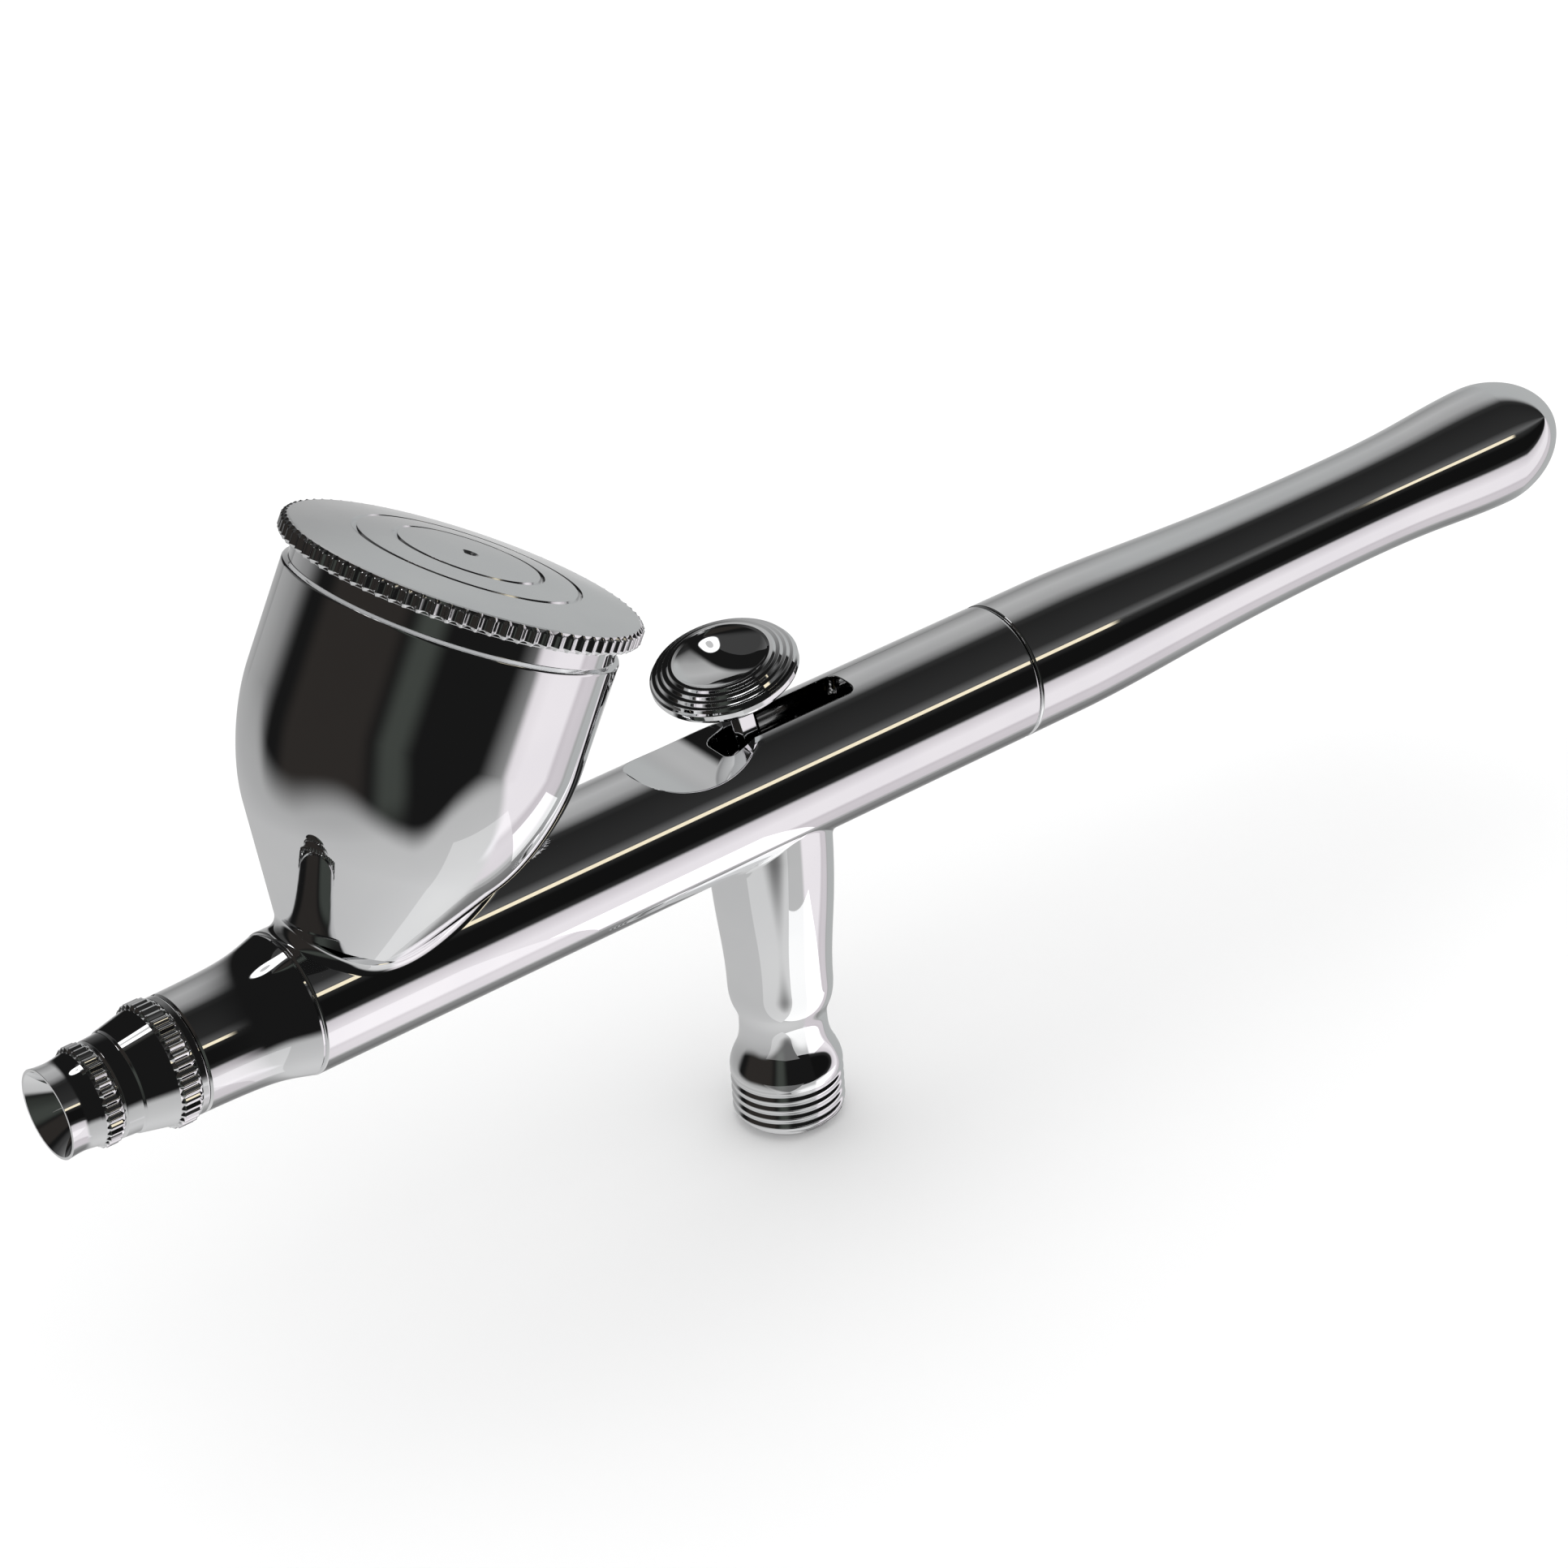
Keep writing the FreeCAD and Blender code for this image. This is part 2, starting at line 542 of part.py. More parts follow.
def handle():
    widest = at_x(83.2, 5.63)
    taper_start, taper_end, taper_r = HANDLE_BORE_END - 20, HANDLE_BORE_END - 12, 3.6
    front = BODY_REAR + FIT
    shell = turned_x(
        at_x(HANDLE_SOCKET + 0.3, 0), at_x(HANDLE_SOCKET + 0.3, HANDLE_SOCKET_R - FIT),
        at_x(front, HANDLE_SOCKET_R - FIT), at_x(front, BODY_R - EDGE), at_x(front + EDGE, BODY_R),
        smooth([at_x(31, BODY_R), at_x(41, 5.66), at_x(50, 5.2), at_x(62, 4.93),
                at_x(74, 5.14), widest], X_AXIS, X_AXIS),
        smooth([widest, at_x(86.1, 5.13), at_x(89.1, 3.5), at_x(HANDLE_END, 0)],
               X_AXIS, Vec(0, 0, -1)))
    hollow = turned_x(
        at_x(HANDLE_SOCKET, 0), at_x(HANDLE_SOCKET, HANDLE_BORE_R),
        at_x(taper_start, HANDLE_BORE_R), at_x(taper_end, taper_r),
        at_x(HANDLE_BORE_END - 2, taper_r), at_x(HANDLE_BORE_END, 0))
    return shell.cut(hollow)


# ---- air valve ----
def valve_casing():
    top, taper_top = -2, -5
    taper_end = at_z(4.3, -21.4)
    end_r = 4.3
    duct_low, cross_duct_r, cross_duct_z = 13.6, 0.4, -13
    shell = turned_z(
        at_z(0, top), at_z(VALVE_TOP_R, top), at_z(VALVE_TOP_R, taper_top),
        smooth([at_z(VALVE_TOP_R, taper_top), at_z(5.0, -12.2), at_z(4.52, -19), taper_end],
               Vec(0, 0, -1), Vec(-0.3, 0, -1)),
        smooth([taper_end, at_z(3.85, -22.75), at_z(3.79, -23.8), at_z(4.05, -25.75),
                at_z(4.6, -27.1), at_z(INLET_THREAD_R, -THREAD_TOP + 0.1)],
               Vec(-0.35, 0, -1), Vec(0, 0, -1)),
        at_z(INLET_THREAD_R, -THREAD_END), at_z(end_r, -VALVE_END), at_z(0, -VALVE_END))
    hollows = [
        rod_x(BODY_R, -12, 12),
        rod_z(PISTON_BORE_R, 1, WEB_TOP),
        rod_z(PISTON_ROD_R + 0.06, WEB_TOP, WEB_END),
        rod_z(AIR_CHAMBER_R, WEB_END, SEAT_TOP),
        rod_z(INLET_BORE_R, SEAT_TOP, VALVE_END + 1),
        rod_z(AIR_DUCT_R, -taper_top, duct_low, AIR_DUCT_X),
        Part.makeCylinder(cross_duct_r, -AIR_DUCT_X, Vec(AIR_DUCT_X, 0, cross_duct_z), X_AXIS),
    ]
    return shell.cut(hollows)


def valve_piston():
    piston = turned_z(
        at_z(0, -PISTON_TOP), at_z(PISTON_R, -PISTON_TOP), at_z(PISTON_R, -PISTON_SHOULDER),
        at_z(PISTON_ROD_R, -PISTON_SHOULDER), at_z(PISTON_ROD_R, -PISTON_ROD_END),
        at_z(0, -PISTON_ROD_END))
    return piston.cut(rod_y(FOOT_R + FIT, 4, 0, LEVER_PIVOT_Z))


def piston_packing():
    return rod_z(PISTON_BORE_R - SEAL_GAP, PISTON_PACKING_TOP, WEB_TOP).cut(
        rod_z(PISTON_ROD_R + SLIDE_FIT, PISTON_PACKING_TOP - 1, WEB_TOP + 1))


def valve_seat():
    bore_r = 1.5
    return rod_z(INLET_BORE_R - FIT, SEAT_TOP, SEAT_END).cut(
        rod_z(bore_r, SEAT_TOP - 1, SEAT_END + 1))


def valve_plunger():
    top = PISTON_ROD_END + SEAL_GAP
    head = SEAT_END + SEAL_GAP
    stem_r, guide_r, end = 0.9, 0.8, 21
    return turned_z(
        at_z(0, -top), at_z(stem_r, -top), at_z(stem_r, -head), at_z(POPPET_R, -head),
        at_z(POPPET_R, -POPPET_END), at_z(guide_r, -POPPET_END), at_z(guide_r, -end), at_z(0, -end))


def valve_spring():
    mean_r, wire_r, turns = 1.75, 0.25, 5
    return coil(mean_r, wire_r, -GUIDE_TOP + SPRING_GAP, -POPPET_END - SPRING_GAP, turns)


def valve_guide_screw():
    bore_r, slot_depth, slot_half = 1.2, 0.8, 0.4
    screw = rod_z(INLET_BORE_R - FIT, GUIDE_TOP, GUIDE_END)
    driver_slot = block(-INLET_BORE_R, INLET_BORE_R, slot_half, -GUIDE_END - 1,
                        -GUIDE_END + slot_depth)
    return screw.cut([rod_z(bore_r, GUIDE_TOP - 1, GUIDE_END + 1), driver_slot])


PIECES = [
    needle_cap, nozzle_cap, fluid_nozzle, head_base, head_seal, body, needle_packing,
    needle_packing_screw, paint_cup, cup_lid, main_lever, trigger_button, auxiliary_lever,
    rocker_pin, needle, needle_tube, needle_spring, spring_case, needle_chucking_nut, handle,
    valve_casing, valve_piston, piston_packing, valve_seat, valve_plunger, valve_spring,
    valve_guide_screw,
]

os.makedirs("parts", exist_ok=True)
for piece in PIECES:
    solid = piece()
    solid.translate(Vec(0, 0, BODY_HEIGHT))
    if not solid.isValid() or len(solid.Solids) != 1:
        print("check", piece.__name__, solid.isValid(), len(solid.Solids))
    solid.Solids[0].exportStep("parts/" + piece.__name__ + ".step")
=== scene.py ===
import bmesh
import bpy
import json
import math
import numpy as np
from mathutils import Euler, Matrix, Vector


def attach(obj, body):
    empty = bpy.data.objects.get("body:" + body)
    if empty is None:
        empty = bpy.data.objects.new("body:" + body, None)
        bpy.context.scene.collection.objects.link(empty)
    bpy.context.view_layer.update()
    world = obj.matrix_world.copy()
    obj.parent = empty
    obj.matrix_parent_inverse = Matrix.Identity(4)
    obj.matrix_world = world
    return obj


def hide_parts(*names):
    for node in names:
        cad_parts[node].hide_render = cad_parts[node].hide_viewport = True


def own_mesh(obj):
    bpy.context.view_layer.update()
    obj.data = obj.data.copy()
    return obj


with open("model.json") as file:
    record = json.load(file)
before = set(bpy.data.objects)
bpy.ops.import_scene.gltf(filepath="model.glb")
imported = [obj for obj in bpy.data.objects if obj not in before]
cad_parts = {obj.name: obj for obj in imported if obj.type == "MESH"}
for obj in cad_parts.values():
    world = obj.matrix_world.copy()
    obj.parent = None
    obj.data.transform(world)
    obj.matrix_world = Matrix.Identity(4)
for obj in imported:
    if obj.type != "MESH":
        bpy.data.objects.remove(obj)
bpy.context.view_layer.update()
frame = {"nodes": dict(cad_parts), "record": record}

# Shapes are worked out in millimetres, with x from the air valve's axis (minus toward the nozzle)
# and z from the body's axis. metres() brings them into the row frame.
LIFT = 30.3
BODY_R = 6.03
BODY_FRONT, BODY_REAR = -47.09, 24.98
CUP_FOOT_X, CUP_TILT = -43.21, math.radians(28.85)
LEVER_LEAN, LEVER_PIVOT_Z = math.radians(11.67), -3.4
SLOT_FRONT, SLOT_REAR, SLOT_HALF = -4.6, 8.75, 1.7
SCOOP_X, SCOOP_Z, SCOOP_R = -7.3, 4.55, 12.5
VALVE_R, INLET_END, FLOOR_GAP = 5.3, -33.0, 0.4
THREAD_R, THREAD_ROOT_R, THREAD_PITCH = 4.864, 4.70, 0.907
TAU = 2 * math.pi


def metres(x, y, z):
    """The place in the row frame, in metres, of a place in the millimetres used here."""
    return x / 1000, y / 1000, (z + LIFT) / 1000


def placed(name, data):
    """A new object in the scene."""
    made = bpy.data.objects.new(name, data)
    bpy.context.collection.objects.link(made)
    return made


# ---- frames that profiles are turned in: origin, and the three unit directions ----
def turning_frame(origin, axis, side):
    axis, side = np.array(axis, float), np.array(side, float)
    return np.array(origin, float), axis, side, np.cross(axis, side)


def tilted(x, z, angle):
    """A frame whose axis leans from vertical toward +X by the angle."""
    s, c = math.sin(angle), math.cos(angle)
    return turning_frame((x, 0, z), (s, 0, c), (c, 0, -s))


ALONG = turning_frame((0, 0, 0), (1, 0, 0), (0, 1, 0))
UPRIGHT = turning_frame((0, 0, 0), (0, 0, 1), (1, 0, 0))
CUP = tilted(CUP_FOOT_X, 0, CUP_TILT)
LEVER = tilted(0, LEVER_PIVOT_Z, -LEVER_LEAN)


def rays(frame_, angle):
    """The unit directions square to the frame's axis, at these angles round it."""
    return np.cos(angle)[..., None] * frame_[2] + np.sin(angle)[..., None] * frame_[3]


# ---- profiles: lists of (points, unit normals) pieces, in (place along the axis, radius) ----
def spline(points, first=None, last=None, step=0.12):
    """A smooth curve through the points, with end directions where they are given."""
    p = np.array(points, float)
    chord = np.r_[0, np.cumsum(np.linalg.norm(np.diff(p, axis=0), axis=1))]
    n = len(p)
    a, b = np.zeros((n, n)), np.zeros((n, 2))
    h = np.diff(chord)
    for i in range(1, n - 1):
        a[i, i - 1:i + 2] = h[i], 2 * (h[i - 1] + h[i]), h[i - 1]
        b[i] = 3 * (h[i] * (p[i] - p[i - 1]) / h[i - 1] + h[i - 1] * (p[i + 1] - p[i]) / h[i])
    for i, j, given in ((0, 1, first), (n - 1, n - 2, last)):
        if given is None:
            a[i, i], a[i, j] = 2, 1
            b[i] = 3 * (p[max(i, j)] - p[min(i, j)]) / abs(chord[i] - chord[j])
        else:
            a[i, i] = 1
            b[i] = np.array(given, float) / np.linalg.norm(given)
    slope = np.linalg.solve(a, b)
    where, out, tangent = [], [], []
    for i in range(n - 1):
        t = np.linspace(0, 1, max(3, int(h[i] / step) + 1))[:, None]
        if i < n - 2:
            t = t[:-1]
        q = ((2 * t**3 - 3 * t**2 + 1) * p[i] + (t**3 - 2 * t**2 + t) * h[i] * slope[i]
             + (3 * t**2 - 2 * t**3) * p[i + 1] + (t**3 - t**2) * h[i] * slope[i + 1])
        d = ((6 * t**2 - 6 * t) * (p[i] - p[i + 1]) / h[i] + (3 * t**2 - 4 * t + 1) * slope[i]
             + (3 * t**2 - 2 * t) * slope[i + 1])
        where.append(t)
        out.append(q)
        tangent.append(d)
    q, d = np.vstack(out), np.vstack(tangent)
    d /= np.linalg.norm(d, axis=1)[:, None]
    return q, np.c_[d[:, 1], -d[:, 0]]


def rounded_corner(before, corner, after, radius, steps=5):
    """The arc that rounds a corner, with the normals on the right of the way along it."""
    a, b = np.array(before) - corner, np.array(after) - corner
    la, lb = np.linalg.norm(a), np.linalg.norm(b)
    a, b = a / la, b / lb
    half = math.acos(max(-1, min(1, a @ b))) / 2
    if half > math.pi / 2 - 0.02:
        return None
    cut = min(radius / math.tan(half), 0.49 * la, 0.49 * lb)
    radius = cut * math.tan(half)
    middle = (a + b) / np.linalg.norm(a + b)
    centre = np.array(corner) + middle * radius / math.sin(half)
    start, end = np.array(corner) + a * cut - centre, np.array(corner) + b * cut - centre
    turn = math.acos(max(-1, min(1, start @ end / radius**2)))
    t = np.linspace(0, 1, steps + 1)[:, None]
    ray = (np.sin((1 - t) * turn) * start + np.sin(t * turn) * end) / (math.sin(turn) * radius)
    left = a[0] * b[1] - a[1] * b[0] < 0
    return centre + ray * radius, ray if left else -ray


def profile(*items, closed=False):
    """Joins corners (s, r) or (s, r, rounding) and splines into pieces with exact normals."""
    nodes = []
    for item in items:
        if isinstance(item[0], np.ndarray):
            nodes.append(("curve", item[0], item[1]))
        else:
            nodes.append(("corner", np.array(item[:2], float), item[2] if len(item) > 2 else 0))
    first_of = [n[1][0] if n[0] == "curve" else n[1] for n in nodes]
    last_of = [n[1][-1] if n[0] == "curve" else n[1] for n in nodes]
    pieces, here, start = [], None, None
    count = len(nodes)
    for i, (kind, data, extra) in enumerate(nodes):
        inner = closed or 0 < i < count - 1
        piece = None
        if kind == "curve":
            piece = (data, extra)
        elif extra and inner:
            piece = rounded_corner(last_of[i - 1], data, first_of[(i + 1) % count], extra)
        head = piece[0][0] if piece else data
        if here is None:
            start = head
        elif np.linalg.norm(head - here) > 1e-6:
            pieces.append(straight(here, head))
        if piece:
            pieces.append(piece)
            here = piece[0][-1]
        else:
            here = data
    if closed and np.linalg.norm(start - here) > 1e-6:
        pieces.append(straight(here, start))
    return pieces, closed


def straight(a, b):
    """The straight piece between two corners, with its normal on the right."""
    d = (b - a) / np.linalg.norm(b - a)
    n = np.array([d[1], -d[0]])
    return np.array([a, b]), np.array([n, n])


# ---- surfaces: (points, faces, one normal per face corner) ----
def turned(frame_, shape, around=192):
    """Turns a profile about the frame's axis, with exact normals."""
    origin, axis = frame_[:2]
    pieces, closed = shape
    points = [pieces[0][0][0]]
    bands = []
    for q, n in pieces:
        for k in range(len(q) - 1):
            bands.append((len(points) - 1, len(points), n[k], n[k + 1]))
            points.append(q[k + 1])
    if closed:
        points.pop()
        bands[-1] = (bands[-1][0], 0, bands[-1][2], bands[-1][3])
    points = np.array(points)
    s, r = points[:, 0], points[:, 1]
    area = np.sum(s * np.roll(r, -1) - np.roll(s, -1) * r)
    sign = 1 if area > 0 else -1
    angle = np.arange(around) * TAU / around
    ring = rays(frame_, angle)
    verts, index = [], []
    for k in range(len(points)):
        if abs(r[k]) < 1e-7:
            index.append(np.full(around, len(verts)))
            verts.append(origin + s[k] * axis)
        else:
            index.append(np.arange(len(verts), len(verts) + around))
            verts.extend(origin + s[k] * axis + r[k] * ring)
    faces, normals = [], []
    for k0, k1, n0, n1 in bands:
        m0 = sign * (n0[0] * axis + n0[1] * ring)
        m1 = sign * (n1[0] * axis + n1[1] * ring)
        for j in range(around):
            i = (j + 1) % around
            loop = [(index[k0][j], m0[j]), (index[k0][i], m0[i]),
                    (index[k1][i], m1[i]), (index[k1][j], m1[j])]
            if index[k0][j] == index[k0][i]:
                loop = [loop[0], loop[2], loop[3]]
            elif index[k1][j] == index[k1][i]:
                loop = loop[:3]
            if sign > 0:
                loop = loop[::-1]
            faces.append([a for a, _ in loop])
            normals.extend(b for _, b in loop)
    return np.array(verts), faces, np.array(normals)


def sheet(surface, us, vs, wrap_u=False, wrap_v=False, flip=False):
    """A grid over a surface of two parameters. Its normals are the surface's own."""
    u, v = np.meshgrid(us, vs, indexing="ij")
    e = 1e-5
    p = surface(u, v)
    du = surface(u + e, v) - surface(u - e, v)
    dv = surface(u, v + e) - surface(u, v - e)
    n = np.cross(du, dv)
    n /= np.maximum(np.linalg.norm(n, axis=-1), 1e-15)[..., None]
    if flip:
        n = -n
    rows, cols = u.shape
    faces, loops = [], []
    for i in range(rows if wrap_u else rows - 1):
        for j in range(cols if wrap_v else cols - 1):
            a, b = (i + 1) % rows, (j + 1) % cols
            face = [i * cols + j, a * cols + j, a * cols + b, i * cols + b]
            faces.append(face[::-1] if flip else face)
            loops.extend(faces[-1])
    return p.reshape(-1, 3), faces, n.reshape(-1, 3)[loops]


def together(*parts):
    """Several surfaces as one."""
    verts, faces, normals, base = [], [], [], 0
    for v, f, n in parts:
        verts.append(v)
        faces.extend([[i + base for i in face] for face in f])
        normals.append(n)
        base += len(v)
    return np.vstack(verts), faces, np.vstack(normals)


def piece(name, part, body, node, slot, material):
    """A named object from a surface, riding on a body in place of its CAD node."""
    verts, faces, normals = part
    mesh = bpy.data.meshes.new(name)
    mesh.from_pydata([metres(*place) for place in verts.tolist()], [], faces)
    mesh.polygons.foreach_set("use_smooth", [True] * len(mesh.polygons))
    mesh.update()
    mesh.normals_split_custom_set([tuple(n) for n in normals.tolist()])
    mesh.materials.append(material)
    made = placed(name, mesh)
    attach(made, body)
    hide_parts(node)
    return made


def knurl(frame_, radius, depth, teeth, s0, s1, inner, chamfer=0.22, scallop=False, per_tooth=8):
    """A ring of straight teeth with bevelled ends. It is open inside, at the inner radius."""
    origin, axis = frame_[:2]

    def surface(u, v):
        """u runs once round, and v from one end of the teeth to the other."""
        phase = u * teeth
        wave = np.abs(np.sin(math.pi * phase)) if scallop else 1 - np.abs(2 * (phase % 1.0) - 1)
        end = np.clip((1 - np.abs(2 * v - 1)) * (s1 - s0) / 2 / chamfer, 0, 1)
        r = radius - depth * wave - 0.9 * chamfer * (1 - end)
        s = s0 + (s1 - s0) * v
        return origin + s[..., None] * axis + r[..., None] * rays(frame_, TAU * u)

    def end_face(v):
        def flat(u, w):
            outer = surface(u, np.full_like(u, v))
            hub = origin + (s0 + (s1 - s0) * v) * axis + inner * rays(frame_, TAU * u)
            return outer * (1 - w[..., None]) + hub * w[..., None]
        return sheet(flat, us, np.array([0.0, 1.0]), wrap_u=True, flip=v > 0.5)

    us = np.arange(teeth * per_tooth) / (teeth * per_tooth)
    bevel, beside = chamfer / (s1 - s0), 1e-3
    vs = np.array([0, bevel - beside, bevel + beside, 0.5, 1 - bevel - beside, 1 - bevel + beside, 1])
    return together(sheet(surface, us, vs, wrap_u=True), end_face(0), end_face(1))


# ---- materials ----
class Nodes:
    """Short names for building a node tree."""

    def __init__(self, tree):
        self.tree = tree
        tree.nodes.clear()

    def add(self, kind, **settings):
        node = self.tree.nodes.new(kind)
        for key, value in settings.items():
            setattr(node, key, value)
        return node

    def put(self, value, socket):
        if isinstance(value, bpy.types.NodeSocket):
            self.tree.links.new(value, socket)
        else:
            socket.default_value = value

    def maths(self, operation, *values):
        node = self.add("ShaderNodeMath", operation=operation)
        for value, socket in zip(values, node.inputs):
            self.put(value, socket)
        return node.outputs[0]

    def degrees(self, radians):
        return self.maths("MULTIPLY", radians, 180 / math.pi)

    def ramp(self, value, stops, interpolation="LINEAR"):
        """Stops are (place from 0 to 1, grey level or colour)."""
        node = self.add("ShaderNodeValToRGB")
        band = node.color_ramp
        band.interpolation = interpolation
        for i, (place, colour) in enumerate(stops):
            stop = band.elements[i] if i < 2 else band.elements.new(place)
            stop.position = place
            stop.color = (*colour, 1) if isinstance(colour, tuple) else (colour, colour, colour, 1)
        self.put(value, node.inputs[0])
        return node.outputs[0]

    def span(self, value, low, high, out_low=0.0, out_high=1.0, smooth=True):
        node = self.add("ShaderNodeMapRange", interpolation_type="SMOOTHSTEP" if smooth else "LINEAR")
        for v, socket in zip((value, low, high, out_low, out_high), node.inputs):
            self.put(v, socket)
        return node.outputs[0]

    def window(self, value, low, high, soft):
        """1 between the limits, with soft edges outside them."""
        return self.maths("MULTIPLY", self.span(value, low - soft, low), self.span(value, high + soft, high))

    def by_angle(self, value, low, high, stops, interpolation="LINEAR"):
        """A ramp whose stops are placed in degrees from low to high."""
        return self.ramp(self.span(value, low, high, smooth=False),
                         [((place - low) / (high - low), level) for place, level in stops], interpolation)

    def mix(self, share, a, b):
        node = self.add("ShaderNodeMix", data_type="RGBA")
        for v, socket in ((share, node.inputs[0]), (a, node.inputs[6]), (b, node.inputs[7])):
            self.put(v, socket)
        return node.outputs[2]

    def noise(self, place, scale, detail=4.0, rough=0.55):
        node = self.add("ShaderNodeTexNoise")
        self.put(place, node.inputs["Vector"])
        node.inputs["Scale"].default_value = scale
        node.inputs["Detail"].default_value = detail
        node.inputs["Roughness"].default_value = rough
        return node.outputs["Fac"]


def surface_material(name, metallic, colours, roughness, grain, bump=0.0):
    """A finish whose colour, roughness and relief all vary finely over the surface."""
    material = bpy.data.materials.new(name)
    material.use_nodes = True
    n = Nodes(material.node_tree)
    out = n.add("ShaderNodeOutputMaterial")
    shader = n.add("ShaderNodeBsdfPrincipled")
    n.tree.links.new(shader.outputs[0], out.inputs[0])
    place = n.add("ShaderNodeTexCoord").outputs["Object"]
    fine = n.noise(place, grain)
    broad = n.noise(place, grain / 9, 3.0)
    n.put(n.mix(n.span(broad, 0.35, 0.65), (*colours[0], 1), (*colours[1], 1)), shader.inputs["Base Color"])
    both = n.maths("MULTIPLY_ADD", fine, 0.5, n.maths("MULTIPLY", broad, 0.5))
    n.put(n.span(both, 0.3, 0.7, *roughness), shader.inputs["Roughness"])
    shader.inputs["Metallic"].default_value = metallic
    if bump:
        relief = n.add("ShaderNodeBump")
        relief.inputs["Strength"].default_value = 1.0
        relief.inputs["Distance"].default_value = bump
        n.put(fine, relief.inputs["Height"])
        n.put(relief.outputs[0], shader.inputs["Normal"])
    return material


# slot, material, metallic, two colours, roughness range, scale of the grain, depth of its relief in metres
FINISHES = {name: surface_material(made_name, *look) for name, made_name, *look in (
    ("chrome", "chrome", 1.0, ((0.95, 0.955, 0.96), (0.92, 0.925, 0.935)), (0.012, 0.035), 900),
    ("satin_chrome", "satin_chrome", 1.0, ((0.93, 0.935, 0.94), (0.90, 0.905, 0.915)), (0.12, 0.17), 1500),
    ("steel", "polished_steel", 1.0, ((0.80, 0.79, 0.77), (0.72, 0.71, 0.69)), (0.10, 0.18), 1400, 5e-8),
    ("spring_steel", "spring_steel", 1.0, ((0.62, 0.61, 0.60), (0.50, 0.49, 0.48)), (0.20, 0.32), 2200, 2e-7),
    ("brass", "brass", 1.0, ((0.83, 0.62, 0.30), (0.74, 0.53, 0.24)), (0.16, 0.30), 1600, 2e-7),
    ("white_plastic", "white_plastic", 0.0, ((0.86, 0.86, 0.84), (0.78, 0.78, 0.75)), (0.40, 0.55), 1200,
     4e-7),
    ("black_rubber", "black_rubber", 0.0, ((0.020, 0.020, 0.022), (0.035, 0.035, 0.036)), (0.45, 0.65), 1600,
     8e-7))}


# ---- nose ----
def needle_cap():
    shell = profile(
        (-68.18, 3.50, 0.04), (-68.18, 3.73, 0.06), spline([(-68.12, 3.725), (-66.7, 3.62), (-65.6, 3.75)]),
        (-65.3, 3.82, 0.1), (-63.7, 3.85, 0.1), (-63.7, 2.75, 0.05), (-65.1, 2.75, 0.05), (-65.1, 1.8, 0.1),
        (-65.5, 1.8, 0.1), closed=True)
    return together(turned(ALONG, shell), knurl(ALONG, 4.15, 0.32, 34, -65.3, -63.75, 3.7, chamfer=0.28))


def nozzle_cap():
    shell = profile(
        (-65.05, 0.75, 0.05), (-65.05, 2.7, 0.1), (-63.7, 2.7), (-63.7, 3.85, 0.05), (-63.52, 4.02, 0.1),
        (-62.2, 4.11, 0.15), (-62.0, 4.24, 0.12), (-59.4, 4.8, 0.05), (-57.55, 4.80, 0.03),
        (-57.5, 4.9, 0.05), (-56.95, 4.93, 0.12), (-56.85, 4.80, 0.05), (-56.85, 3.9), (-60.55, 3.9),
        (-60.55, 2.9), (-61.6, 2.9, 0.1), (-64.6, 0.75, 0.1), closed=True)
    return together(turned(ALONG, shell), knurl(ALONG, 5.17, 0.32, 40, -59.4, -57.55, 4.7, chamfer=0.3))


def head_base():
    return turned(ALONG, profile(
        (-60.5, 1.45), (-60.5, 3.85), (-56.8, 3.85), (-56.8, 4.80, 0.06),
        spline([(-56.62, 4.93), (-52.5, 5.05), (-49.5, 5.36), (-47.32, 5.90)]), (-47.09, 5.86, 0.08),
        (-47.09, 5.45), (-47.69, 5.45), (-47.69, 4.4), (-45.2, 4.4), (-45.2, 1.6), (-57.4, 1.6),
        (-57.4, 1.45), closed=True))


def needle():
    return turned(ALONG, profile(
        (-67.75, 0), (-67.72, 0.012), (-51.75, 0.65, 0.3), (61.6, 0.65, 0.1), (62, 0.3, 0.05), (62, 0)), 48)


# ---- body ----
def cut_mesh(base, cutters):
    """Cuts closed meshes out of a closed mesh."""
    def solid(part, name):
        mesh = bpy.data.meshes.new(name)
        mesh.from_pydata(part[0].tolist(), [], part[1])
        mesh.update()
        return placed(name, mesh)

    target = solid(base, "cut_target")
    tools = [solid(c, f"cut_tool_{i}") for i, c in enumerate(cutters)]
    for tool in tools:
        cut = target.modifiers.new(tool.name, "BOOLEAN")
        cut.operation, cut.solver, cut.object = "DIFFERENCE", "EXACT", tool
    graph = bpy.context.evaluated_depsgraph_get()
    result = bpy.data.meshes.new_from_object(target.evaluated_get(graph))
    for made in [target, *tools]:
        old = made.data
        bpy.data.objects.remove(made)
        bpy.data.meshes.remove(old)
    return result


def prism(points, z0, z1):
    """A closed upright prism over a plan outline that runs anticlockwise."""
    n = len(points)
    verts = [(x, y, z0) for x, y in points] + [(x, y, z1) for x, y in points]
    faces = [list(range(n))[::-1], list(range(n, 2 * n))]
    faces += [[i, (i + 1) % n, n + (i + 1) % n, n + i] for i in range(n)]
    return np.array(verts, float), faces, None


def slot_outline(r=0.8, steps=8):
    """The lever slot seen from above, with rounded corners."""
    points = []
    for cx, cy, start in ((SLOT_REAR - r, SLOT_HALF - r, 0), (SLOT_FRONT + r, SLOT_HALF - r, 90),
                          (SLOT_FRONT + r, r - SLOT_HALF, 180), (SLOT_REAR - r, r - SLOT_HALF, 270)):
        for k in range(steps + 1):
            a = math.radians(start + 90 * k / steps)
            points.append((cx + r * math.cos(a), cy + r * math.sin(a)))
    return points


